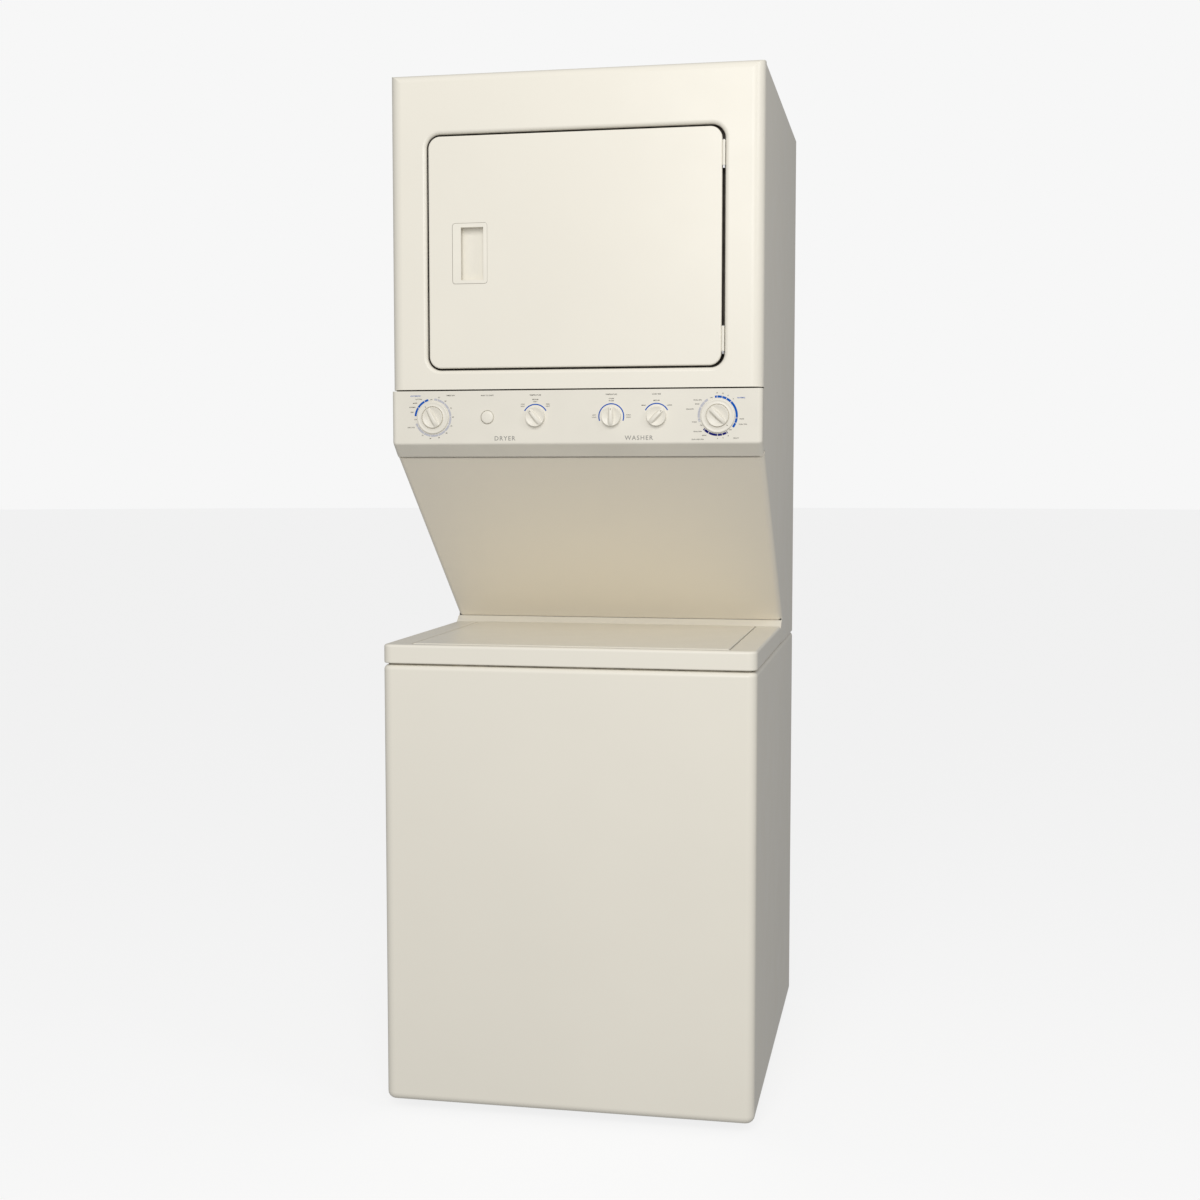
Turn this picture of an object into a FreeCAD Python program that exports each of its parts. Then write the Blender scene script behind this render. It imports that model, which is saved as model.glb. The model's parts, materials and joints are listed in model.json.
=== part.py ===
"""A stacked laundry centre: a top-loading washer below, a front-loading tumble dryer above it on a
pair of side panels, and one control panel between them.

The frame is the object's own: +Z up, +Y towards the wall behind it, and the origin on the floor
under the middle of its outline. Lengths are in millimetres.
"""

import FreeCAD, Part
import math
import os

import Sketcher
from FreeCAD import Placement, Rotation, Vector

# ---------------------------------------------------------------- driving dimensions
DIMENSIONS = {
    # outline of the whole machine
    "width": 686,
    "front": -410,  # front face of the washer
    "rear": 390,  # rear edge of the side panels
    "top_z": 1905,
    "foot_z": 18,  # underside of the washer cabinet
    "skin": 1.0,  # sheet steel
    "play": 0.4,  # gap between neighbouring sheets
    # washer cabinet and top cover
    "cabinet_z": 833,
    "cabinet_round": 18,
    "cabinet_roll": 9,
    "cabinet_foot_roll": 14,
    "flange": 22,
    "cover_low": 836,
    "cover_z": 870.5,
    "cover_end": 523,  # depth of the cover behind the front face
    "cove_start": 503,
    "cove_z": 882,
    "lid_half": 291,
    "lid_start": 24,
    "lid_end": 498,
    "lid_low": 859.5,
    "lid_z": 871.5,
    "lid_axis_y": 491,
    "lid_axis_z": 866,
    "tray_z": 856,
    "lid_gap": 3,
    "mouth_r": 205,
    "mouth_y": 275,
    # slanted panel under the controls
    "slant_top_y": 105,
    "slant_top_z": 1210,
    "slant_base_y": 521,
    "slant_base_z": 882.5,
    "slant_pan": 16,
    # dryer front and control panel
    "face_y": 72,  # front of the dryer behind the front of the washer
    "wrap": 30,  # depth of the front panels' returns
    "dryer_low": 1335.5,
    "dryer_round": 22,
    "dryer_roll": 14,
    "top_turn": 6,  # depth of the top panel's turned-down edges
    "console_z": 1333,
    "console_low": 1213,
    "bevel_z": 1236,
    "bevel_y": 26,
    "console_round": 9,
    # dryer door
    "recess_left": -273.5,
    "recess_right": 274,
    "recess_low": 1370.5,
    "recess_high": 1796.5,
    "recess_deep": 24,
    "recess_round": 25,
    "recess_lip": 7,
    "tray_wall": 12,
    "door_left": -270,
    "door_right": 268.5,
    "door_gap": 3.5,
    "door_deep": 18,
    "port_half": 235,
    "port_low": 1402,
    "port_high": 1765,
    "port_round": 70,
    "hinge_x": 271.3,
    "hinge_y": 74.7,
    "hinge_low_z": 1421,
    "hinge_high_z": 1746,
    "hinge_tall": 44,
    "barrel_r": 2.5,
    "pin_r": 1.5,
    "pull_left": -225,
    "pull_wide": 65,
    "pull_tall": 109,
    "pull_z": 1581.5,
    "switch_x": 254,
    "switch_z": 1640,
    "plunger_r": 4,
    # controls
    "knob_z": 1284.4,
    "cap_r": 20,
    "dial_r": 29.5,
    "selector_r": 17.6,
    "shaft_r": 3,
    "button_r": 11.6,
    "dryer_timer_x": -264,
    "start_x": -160.5,
    "dryer_temp_x": -70.5,
    "washer_temp_x": 70,
    "load_x": 152.5,
    "washer_timer_x": 263,
    # dryer drum, belt and air path
    "drum_z": 1568,
    "drum_r": 312,
    "drum_front": 178,
    "drum_rear": 730,
    "bulkhead_y": 165,
    "motor_x": -110,
    "motor_z": 1130,
    "motor_r": 62,
    "pulley_r": 10,
    "idler_r": 22,
    "belt_y": 640,
    "blower_r": 78,
    "exhaust_x": 130,
    "exhaust_z": 1105,
    "exhaust_r": 50.8,
    "stub": 20,  # how far the exhaust stands out behind the side panels
    "shelf_z": 1051.8,  # top of the shelf that carries the motor and blower
    "idler_z": 1215,
    "idler_pivot_z": 1128,
    # washer tub, drive and water parts
    "tub_y": 303,
    "tub_r": 288,
    "tub_low": 235,
    "tub_high": 800,
    "basket_r": 258,
    "basket_low": 262,
    "basket_high": 790,
    "agitator_r": 85,
    "drive_r": 90,
    "drive_z": 128,
    "washer_motor_y": 662,
    "washer_motor_r": 60,
    "motor_pulley_r": 24,
    "leg_x": 283,
    "leg_y": 84,
    "pad_r": 19,
    # connections at the back
    "hot_x": -215,
    "cold_x": -265,
    "inlet_z": 760,
    "inlet_r": 13.2,
    "drain_x": 250,
    "drain_z": 690,
    "drain_r": 12,
    "power_x": 240,
    "power_z": 900,
    "power_r": 14.3,
}

doc = FreeCAD.newDocument("LaundryCentre")
sheet = doc.addObject("Spreadsheet::Sheet", "Dims")
for row, (alias, number) in enumerate(DIMENSIONS.items(), 1):
    sheet.set(f"A{row}", alias)
    sheet.set(f"B{row}", str(number))
    sheet.setAlias(f"B{row}", alias)
doc.recompute()


# ---------------------------------------------------------------- sizes that keep their formula
def number_of(size):
    return size.number if isinstance(size, Size) else float(size)


def formula_of(size):
    return size.formula if isinstance(size, Size) else repr(float(size))


class Size:
    """A number from the sheet, or arithmetic on such numbers, together with its formula."""

    def __init__(self, number, formula):
        self.number = number
        self.formula = formula

    def __add__(self, other):
        return Size(self.number + number_of(other), f"({self.formula} + {formula_of(other)})")

    __radd__ = __add__

    def __sub__(self, other):
        return Size(self.number - number_of(other), f"({self.formula} - {formula_of(other)})")

    def __rsub__(self, other):
        return Size(number_of(other) - self.number, f"({formula_of(other)} - {self.formula})")

    def __mul__(self, other):
        return Size(self.number * number_of(other), f"({self.formula} * {formula_of(other)})")

    __rmul__ = __mul__

    def __truediv__(self, other):
        return Size(self.number / number_of(other), f"({self.formula} / {formula_of(other)})")

    def __neg__(self):
        return Size(-self.number, f"(-1 * {self.formula})")


class Dimensions:
    """The sheet's cells as Size attributes."""

    def __getattr__(self, alias):
        return Size(float(sheet.get(alias)), f"Dims.{alias}")


d = Dimensions()
half = d.width / 2
face = d.front + d.face_y  # front plane of the dryer and the control panel
back = d.rear - 10  # outer face of the rear panels
tub_axis = d.front + d.tub_y
selectors = (d.dryer_temp_x, d.washer_temp_x, d.load_x)


def bind(thing, prop, size):
    """Sets a property to a size, with the sheet's formula where it has one."""
    if isinstance(size, Size):
        thing.setExpression(prop, size.formula)
    elif "." in prop:
        thing.setExpression(prop, repr(float(size)))
    else:
        setattr(thing, prop, float(size))


# ---------------------------------------------------------------- solids and how they combine
TURNS = {
    "x": Rotation(Vector(0, 1, 0), 90),
    "y": Rotation(Vector(1, 0, 0), -90),
    "z": Rotation(),
}
nodes = {}


def node(label, thing):
    """Names a finished sub-part: its Label is its file's name."""
    thing.Label = label
    nodes[label] = thing
    return thing


def box(name, x, y, z):
    """A block between two corners, from (low, high) pairs."""
    block = doc.addObject("Part::Box", name)
    for prop, axis, (low, high) in zip(("Length", "Width", "Height"), "xyz", (x, y, z)):
        bind(block, prop, high - low)
        bind(block, f"Placement.Base.{axis}", low)
    return block


def rod(name, axis, start, radius, length):
    """A cylinder that runs along +axis from the point start."""
    cylinder = doc.addObject("Part::Cylinder", name)
    cylinder.Placement = Placement(Vector(), TURNS[axis])
    bind(cylinder, "Radius", radius)
    bind(cylinder, "Height", length)
    for coordinate, value in zip("xyz", start):
        bind(cylinder, f"Placement.Base.{coordinate}", value)
    return cylinder


def join(name, things):
    fused = doc.addObject("Part::MultiFuse", name)
    fused.Shapes = things
    return fused


def group(name, things):
    """Separate solids that share one node."""
    compound = doc.addObject("Part::Compound", name)
    compound.Links = things
    return compound


def cut(name, base, *tools):
    trimmed = doc.addObject("Part::Cut", name)
    trimmed.Base = base
    trimmed.Tool = tools[0] if len(tools) == 1 else join(name + "Tools", list(tools))
    return trimmed


def rounded(name, base, choices):
    """Rounds the edges that each (radius, test) pair picks from base."""
    doc.recompute()
    picked = []
    for index, edge in enumerate(base.Shape.Edges, 1):
        for radius, test in choices:
            if test(edge):
                picked.append((index, number_of(radius), number_of(radius)))
                break
    fillet = doc.addObject("Part::Fillet", name)
    fillet.Base = base
    fillet.Edges = picked
    return fillet


def lies_at(axis, place):
    """A test for edges that lie wholly in the plane axis = place."""
    low, high = axis.upper() + "Min", axis.upper() + "Max"
    at = number_of(place)

    def test(edge):
        bounds = edge.BoundBox
        return abs(getattr(bounds, low) - at) < 0.01 and abs(getattr(bounds, high) - at) < 0.01

    return test


def runs(axis, *tests):
    """A test for edges that run along one axis and pass every other test too."""
    length = axis.upper() + "Length"

    def test(edge):
        bounds = edge.BoundBox
        along = getattr(bounds, length)
        others = [getattr(bounds, other) for other in ("XLength", "YLength", "ZLength") if other != length]
        return along > 1 and max(others) < 0.01 and all(other(edge) for other in tests)

    return test


# ---------------------------------------------------------------- bodies made from sketches
def body(name, at=(0, 0, 0), turn=None):
    made = doc.addObject("PartDesign::Body", name)
    if turn is not None:
        made.Placement = Placement(Vector(), turn)
    for coordinate, value in zip("xyz", at):
        bind(made, f"Placement.Base.{coordinate}", value)
    return made


def sketch(owner, name, plane, outlines, offset=0):
    """A fully constrained sketch. An outline is a list of corners or a circle (x, y, radius)."""
    drawn = owner.newObject("Sketcher::SketchObject", name)
    support = next(f for f in owner.Origin.OriginFeatures if f.Role == plane)
    drawn.AttachmentSupport = [(support, "")]
    drawn.MapMode = "FlatFace"
    bind(drawn, "AttachmentOffset.Base.z", offset)
    for outline in outlines:
        if isinstance(outline, tuple):
            circle(drawn, *outline)
        else:
            polygon(drawn, outline)
    return drawn


def constrain(drawn, kind, where, size):
    index = drawn.addConstraint(Sketcher.Constraint(kind, *where, number_of(size)))
    if isinstance(size, Size):
        drawn.setExpression(f"Constraints[{index}]", size.formula)


def circle(drawn, x, y, radius):
    centre = Vector(number_of(x), number_of(y), 0)
    edge = drawn.addGeometry(Part.Circle(centre, Vector(0, 0, 1), number_of(radius)), False)
    constrain(drawn, "Radius", (edge,), radius)
    constrain(drawn, "DistanceX", (-1, 1, edge, 3), x)
    constrain(drawn, "DistanceY", (-1, 1, edge, 3), y)


def polygon(drawn, corners):
    points = [Vector(number_of(x), number_of(y), 0) for x, y in corners]
    edges = [
        drawn.addGeometry(Part.LineSegment(point, points[(i + 1) % len(points)]), False)
        for i, point in enumerate(points)
    ]
    for i, edge in enumerate(edges):
        following = edges[(i + 1) % len(edges)]
        drawn.addConstraint(Sketcher.Constraint("Coincident", edge, 2, following, 1))
    for edge, (x, y) in zip(edges, corners):
        constrain(drawn, "DistanceX", (-1, 1, edge, 1), x)
        constrain(drawn, "DistanceY", (-1, 1, edge, 1), y)


def turned(name, plane, axis, outline, at, turn=None):
    """A body of revolution. The outline's corners are (along, radius) pairs of the plane."""
    made = body(name, at, turn)
    profile = sketch(made, name + "Profile", plane, [outline])
    solid = made.newObject("PartDesign::Revolution", name + "Turned")
    solid.Profile = profile
    solid.ReferenceAxis = (profile, [axis])
    solid.Angle = 360
    return made


def extruded(name, plane, outlines, length, offset=0, at=(0, 0, 0), midplane=False, reverse=False):
    made = body(name, at)
    profile = sketch(made, name + "Outline", plane, outlines, offset)
    solid = made.newObject("PartDesign::Pad", name + "Pad")
    solid.Profile = profile
    bind(solid, "Length", length)
    solid.Midplane = midplane
    solid.Reversed = reverse
    return made


def rounded_block(name, x, y, z, radius):
    """A block whose four edges along Y are rounded."""
    return rounded(name, box(name + "Block", x, y, z), [(radius, runs("y"))])


# ---------------------------------------------------------------- washer cabinet
def sheet_shell(name, x, y, z, radii, tests):
    """A folded sheet casing, open at the back: an outer block less the same block a skin smaller."""
    outer_tests, inner_tests = tests
    outer = rounded(name + "Outer", box(name + "OuterBlock", x, y, z), list(zip(radii, outer_tests)))
    inside = [(low + d.skin, high - d.skin) for low, high in (x, z)]
    inner_block = box(name + "InnerBlock", inside[0], (y[0] + d.skin, y[1] + 5), inside[1])
    inner_choices = [(radius - d.skin, test) for radius, test in zip(radii, inner_tests)]
    inner = rounded(name + "Inner", inner_block, inner_choices)
    return cut(name, outer, inner)


def along_top_or_bottom(low, high, back):
    """A test for the horizontal edges of a block, apart from those at its back."""

    def test(edge):
        level = lies_at("z", low)(edge) or lies_at("z", high)(edge)
        return level and not lies_at("y", back)(edge)

    return test


def washer_cabinet():
    sides = (-half, half)
    height = (d.foot_z, d.cabinet_z)
    low, high = d.foot_z + d.skin, d.cabinet_z - d.skin
    tests = (
        (
            runs("z", lies_at("y", d.front)),
            along_top_or_bottom(d.cabinet_z, d.cabinet_z, d.rear),
            along_top_or_bottom(d.foot_z, d.foot_z, d.rear),
        ),
        (
            runs("z", lies_at("y", d.front + d.skin)),
            along_top_or_bottom(high, high, d.rear + 5),
            along_top_or_bottom(low, low, d.rear + 5),
        ),
    )
    radii = (d.cabinet_round, d.cabinet_roll, d.cabinet_foot_roll)
    shell = sheet_shell("WasherShell", sides, (d.front, d.rear), height, radii, tests)
    opening = box(
        "WasherShellOpening",
        (d.flange - half, half - d.flange),
        (d.front + d.flange, d.rear + 5),
        (d.foot_z - 5, d.cabinet_z + 5),
    )
    open_shell = cut("WasherShellOpen", shell, opening)
    returns = rear_returns("Washer", d.foot_z + 30, d.cabinet_z - 8)
    node("washer_cabinet", join("WasherCabinet", [open_shell, *returns]))


def rear_returns(name, low, high):
    """The two strips that a rear panel is screwed to."""
    depth = (back - 2 * d.skin, back - d.skin)
    left = box(name + "ReturnLeft", (d.skin / 2 - half, d.flange - half), depth, (low, high))
    right = box(name + "ReturnRight", (half - d.flange, half - d.skin / 2), depth, (low, high))
    return [left, right]


def washer_rear_panel():
    side = half - d.skin - d.play
    low = d.foot_z + 26
    high = d.cabinet_z - 10
    outline = [(-side, low), (side, low), (side, high), (-side, high)]
    valves = [(x, d.inlet_z, d.inlet_r + 4) for x in (d.hot_x, d.cold_x)]
    spout = (d.drain_x, d.drain_z, d.drain_r + 3)
    panel = extruded("WasherRearPanel", "XZ_Plane", [outline, *valves, spout], d.skin, offset=-back)
    node("washer_rear_panel", panel)


def base_frame():
    side = half - 16
    low = d.foot_z + d.skin
    band = box("BaseBand", (-side, side), (d.front + 16, d.rear - 14), (low, low + 3))
    middle = box("BaseMiddle", (-240, 240), (d.front + 110, d.rear - 110), (low - 5, low + 25))
    holes = [
        rod(f"BaseHole{i}", "z", (x, y, low - 5), 5.5, 30) for i, (x, y) in enumerate(leg_places())
    ]
    node("base_frame", cut("BaseFrame", band, middle, *holes))


def leg_places():
    return [(x, y) for x in (-d.leg_x, d.leg_x) for y in (d.front + d.leg_y, d.rear - d.leg_y)]


def levelling_feet():
    pieces = []
    for i, (x, y) in enumerate(leg_places()):
        stud = rod(f"LegStud{i}", "z", (x, y, 4), 5, 50)
        nut = extruded(f"LegNut{i}", "XY_Plane", [hexagon(8.5), (0, 0, 5)], 6.5, at=(x, y, d.foot_z - 6))
        disc = rod(f"PadDisc{i}", "z", (x, y, 0), d.pad_r, 11)
        pad = cut(f"FootPad{i}", disc, rod(f"PadHole{i}", "z", (x, y, 4), 5, 10))
        pieces += [stud, nut, pad]
    node("levelling_feet", group("LevellingFeet", pieces))


def hexagon(flat):
    """The corners of a nut, from half its width across flats."""
    corner = flat / math.cos(math.radians(30))
    return [
        (corner * math.cos(math.radians(60 * i)), corner * math.sin(math.radians(60 * i)))
        for i in range(6)
    ]


def seam_gasket():
    inset = 10
    wide = 11
    outer = box(
        "GasketOuter",
        (inset - half, half - inset),
        (d.front + inset, back - 3),
        (d.cabinet_z, d.cover_low),
    )
    inner = box(
        "GasketInner",
        (inset + wide - half, half - inset - wide),
        (d.front + inset + wide, back - 20),
        (d.cabinet_z - 5, d.cover_low + 5),
    )
    node("seam_gasket", cut("SeamGasket", outer, inner))


# ---------------------------------------------------------------- washer top and lid
def washer_top_cover():
    profile = [
        (d.front, d.cover_low),
        (d.front + d.cover_end, d.cover_low),
        (d.front + d.cover_end, d.cove_z),
        (d.front + d.cover_end - 4, d.cove_z),
        (d.front + d.cove_start, d.cover_z),
        (d.front, d.cover_z),
    ]
    block = extruded("CoverBlock", "YZ_Plane", [profile], d.width, midplane=True)
    top_edge = lies_at("z", d.cover_z)
    back_of_top = lies_at("y", d.front + d.cove_start)
    solid = rounded(
        "CoverRounded",
        block,
        [
            (d.cabinet_round, runs("z", lies_at("y", d.front))),
            (5, lambda edge: top_edge(edge) and not back_of_top(edge)),
            (2.5, along_top_or_bottom(d.cover_low, d.cover_low, d.front + d.cover_end)),
        ],
    )
    hollow_block = box(
        "CoverHollowBlock",
        (d.skin - half, half - d.skin),
        (d.front + d.skin, d.front + d.cover_end + 5),
        (d.cover_low + d.skin, d.cover_z - 5),
    )
    front_corners = runs("z", lies_at("y", d.front + d.skin))
    hollow = rounded("CoverHollow", hollow_block, [(d.cabinet_round - d.skin, front_corners)])
    mouth_below = box(
        "CoverUnderside",
        (d.flange - half, half - d.flange),
        (d.front + d.flange, d.front + d.cover_end + 5),
        (d.cover_low - 5, d.cover_low + 5),
    )
    tray = box(
        "LidTray",
        (-d.lid_half - d.lid_gap - d.skin, d.lid_half + d.lid_gap + d.skin),
        (d.front + d.lid_start - 2 - d.skin, d.front + d.lid_end + 3 + d.skin),
        (d.tray_z - d.skin, d.cover_z - 3),
    )
    recess_block = box(
        "LidRecessBlock",
        (-d.lid_half - d.lid_gap, d.lid_half + d.lid_gap),
        (d.front + d.lid_start - 2, d.front + d.lid_end + 3),
        (d.tray_z, d.cove_z + 5),
    )
    recess = rounded("LidRecess", recess_block, [(14, runs("z", lies_at("y", d.front + d.lid_end + 3)))])
    mouth = rod("WashMouth", "z", (0, d.front + d.mouth_y, d.tray_z - 20), d.mouth_r, 40)
    pins = rod("LidPinHoles", "x", (-320, d.front + d.lid_axis_y, d.lid_axis_z), 3, 640)
    shell = cut("CoverShell", solid, hollow, mouth_below)
    cover = cut("WasherTopCover", join("CoverWithTray", [shell, tray]), recess, mouth, pins)
    node("washer_top_cover", cover)


def washer_lid():
    def pan(name, shrink, low, high):
        """The lid's block, smaller all round by shrink, with its rear corners rounded."""
        block = box(
            name + "Block",
            (shrink - d.lid_half, d.lid_half - shrink),
            (d.front + d.lid_start + shrink, d.front + d.lid_end - shrink),
            (low, high),
        )
        corner = 12 - number_of(shrink)
        return rounded(name, block, [(corner, runs("z", lies_at("y", d.front + d.lid_end - shrink)))])

    outer = rounded("LidOuter", pan("LidPan", 0, d.lid_low, d.lid_z), [(2.5, lies_at("z", d.lid_z))])
    inner = pan("LidInner", d.skin, d.lid_low - 5, d.lid_z - d.skin)
    holes = rod("LidHingeHoles", "x", (-320, d.front + d.lid_axis_y, d.lid_axis_z), 3.05, 640)
    node("washer_lid", cut("WasherLid", outer, inner, holes))
    pins = []
    for side, start in (("Left", -d.lid_half - 4), ("Right", d.lid_half - 10)):
        pins.append(rod(f"LidPin{side}", "x", (start, d.front + d.lid_axis_y, d.lid_axis_z), 3, 14))
    node("lid_hinge_pins", group("LidHingePins", pins))


# ---------------------------------------------------------------- side, slanted, top and rear panels
def slant_direction():
    """The unit vector down the slanted panel in the YZ plane."""
    run = (d.slant_base_y - d.slant_top_y).number
    drop = (d.slant_base_z - d.slant_top_z).number
    length = math.hypot(run, drop)
    return run / length, drop / length


def slanted_panel():
    down_y, down_z = slant_direction()
    into_y, into_z = -down_z, down_y

    def slab(name, width, near, far, trim):
        """A slab along the slant between two depths behind its face."""
        top = (d.front + d.slant_top_y + trim * down_y, d.slant_top_z + trim * down_z)
        base = (d.front + d.slant_base_y - trim * down_y, d.slant_base_z - trim * down_z)
        corners = [(y + depth * into_y, z + depth * into_z) for depth, (y, z) in (
            (near, top), (near, base), (far, base), (far, top))]
        return extruded(name, "YZ_Plane", [corners], width, midplane=True)

    def long_edges_at(depth):
        """A test for a slab's two long edges in the plane at this depth behind the panel's face."""
        top_y = number_of(d.front + d.slant_top_y + depth * into_y)
        top_z = number_of(d.slant_top_z + depth * into_z)

        def test(edge):
            bounds = edge.BoundBox
            if bounds.XLength > 0.01 or bounds.YLength < 300:
                return False
            off = (bounds.YMin - top_y) * into_y + (bounds.ZMax - top_z) * into_z
            return abs(off) < 0.05

        return test

    fold = 10
    solid_block = slab("SlantSolid", d.width, 0, d.slant_pan, 0)
    hollow_block = slab("SlantHollowBlock", d.width - 2 * d.skin, d.skin, d.slant_pan + 5, d.skin)
    solid = rounded("SlantRounded", solid_block, [(fold, long_edges_at(0))])
    hollow = rounded("SlantHollow", hollow_block, [(fold - d.skin, long_edges_at(d.skin))])
    node("slanted_panel", cut("SlantedPanel", solid, hollow))


def side_panels():
    down_y, down_z = slant_direction()
    into_y, into_z = -down_z, down_y
    edge_y = face + d.wrap + d.play
    base_y = d.front + d.slant_base_y + d.slant_pan * into_y
    base_z = d.slant_base_z + d.slant_pan * into_z
    top_y = d.front + d.slant_top_y + d.slant_pan * into_y
    top_z = d.slant_top_z + d.slant_pan * into_z
    seat_z = top_z + 0.8
    high = d.top_z - d.top_turn - 0.2
    outline = [
        (edge_y, high),
        (edge_y, seat_z),
        (top_y + 0.3, seat_z),
        (base_y + 0.6, base_z + 0.1),
        (d.front + d.cover_end + 0.9, base_z - 9.6),
        (d.front + d.cover_end + 0.9, d.cover_low),
        (d.rear, d.cover_low),
        (d.rear, high),
    ]
    returns = rear_returns("Side", d.cover_low + 8, high - 8)
    for side, sign in (("left", -1), ("right", 1)):
        name = "Side" + side.capitalize()
        inner = half - d.skin
        start = -half if sign < 0 else inner
        wall = extruded(name + "Wall", "YZ_Plane", [outline], d.skin, offset=start)
        foot_x = (-half, d.flange - half) if sign < 0 else (half - d.flange, half)
        foot_y = (d.front + d.cover_end + 0.9, back - 3)
        foot = box(name + "Foot", foot_x, foot_y, (d.cover_low, d.cover_low + d.skin))
        strip = returns[0] if sign < 0 else returns[1]
        node("side_panel_" + side, join(name, [wall, foot, strip]))


def dryer_top_panel():
    depth = (face + d.wrap + d.play, d.rear)
    block = box("TopBlock", (-half, half), depth, (d.top_z - d.top_turn, d.top_z))
    inside = (d.top_z - d.top_turn - 5, d.top_z - d.skin)
    hollow = box("TopHollow", (d.skin - half, half - d.skin), (depth[0] - 5, depth[1] + 5), inside)
    outer = rounded("TopOuter", block, [(4, runs("y", lies_at("z", d.top_z)))])
    inner = rounded("TopInner", hollow, [(4 - d.skin, runs("y", lies_at("z", d.top_z - d.skin)))])
    node("dryer_top_panel", cut("DryerTopPanel", outer, inner))


def dryer_rear_panel():
    side = half - d.skin - d.play
    low = d.cover_low + d.skin + d.play
    high = d.top_z - 5
    outline = [(-side, low), (side, low), (side, high), (-side, high)]
    exhaust = (d.exhaust_x, d.exhaust_z, d.exhaust_r + 1.5)
    power = (d.power_x, d.power_z, d.power_r)
    vents = []
    for row in range(6):
        for column in range(5):
            x = -140 + 70 * column
            z = 1690 + 16 * row
            vents.append([(x - 26, z - 3), (x + 26, z - 3), (x + 26, z + 3), (x - 26, z + 3)])
    panel = extruded("DryerRearPanel", "XZ_Plane", [outline, exhaust, power, *vents], d.skin, offset=-back)
    node("dryer_rear_panel", panel)


def panel_screws():
    heights = (70, 300, 560, 810, 880, 1130, 1400, 1660, 1880)
    places = [(x, z) for z in heights for x in (-332, 332)]
    heads = [rod(f"ScrewHead{i}", "y", (x, back, z), 4.2, 2.4) for i, (x, z) in enumerate(places)]
    node("panel_screws", group("PanelScrews", heads))


# ---------------------------------------------------------------- dryer front, door and control panel
def dryer_front_panel():
    sides = (-half, half)
    depth = (face, face + d.wrap)
    height = (d.dryer_low, d.top_z)
    tests = (
        (runs("z", lies_at("y", face)), runs("x", lies_at("y", face), lies_at("z", d.top_z))),
        (
            runs("z", lies_at("y", face + d.skin)),
            runs("x", lies_at("y", face + d.skin), lies_at("z", d.top_z - d.skin)),
        ),
    )
    shell = sheet_shell("DryerFrontShell", sides, depth, height, (d.dryer_round, d.dryer_roll), tests)
    surround = box(
        "DoorSurround",
        (d.recess_left - d.tray_wall, d.recess_right + d.tray_wall),
        (face + 0.5, face + 12),
        (d.recess_low - d.tray_wall, d.recess_high + d.tray_wall),
    )
    tray = rounded_block(
        "DoorTray",
        (d.recess_left - 2, d.recess_right + 2),
        (face + 0.5, face + d.recess_deep + d.skin),
        (d.recess_low - 2, d.recess_high + 2),
        d.recess_round + 2,
    )
    recess = rounded_block(
        "DoorRecess",
        (d.recess_left, d.recess_right),
        (face - 5, face + d.recess_deep),
        (d.recess_low, d.recess_high),
        d.recess_round,
    )
    panel = cut("DryerFrontRecessed", join("DryerFrontWithTray", [shell, surround, tray]), recess)
    port = rounded_block(
        "DrumPort",
        (-d.port_half, d.port_half),
        (face + 5, face + d.recess_deep + 10),
        (d.port_low, d.port_high),
        d.port_round,
    )
    slot = box("StrikeSlot", (-263, -249), (face + 15, face + 35), (1568, 1596))
    switch_hole = rod("SwitchHole", "y", (d.switch_x, face + 15, d.switch_z), 4.6, 20)
    eased = rounded("DryerFrontEased", panel, [(d.recess_lip, rim_of_recess)])
    node("dryer_front_panel", cut("DryerFrontPanel", eased, port, slot, switch_hole))


def rim_of_recess(edge):
    """The edges where the front plane meets the recess for the door."""
    if not lies_at("y", face)(edge):
        return False
    bounds = edge.BoundBox
    inside_x = bounds.XMin > number_of(d.recess_left) - 1 and bounds.XMax < number_of(d.recess_right) + 1
    inside_z = bounds.ZMin > number_of(d.recess_low) - 1 and bounds.ZMax < number_of(d.recess_high) + 1
    return inside_x and inside_z


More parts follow.
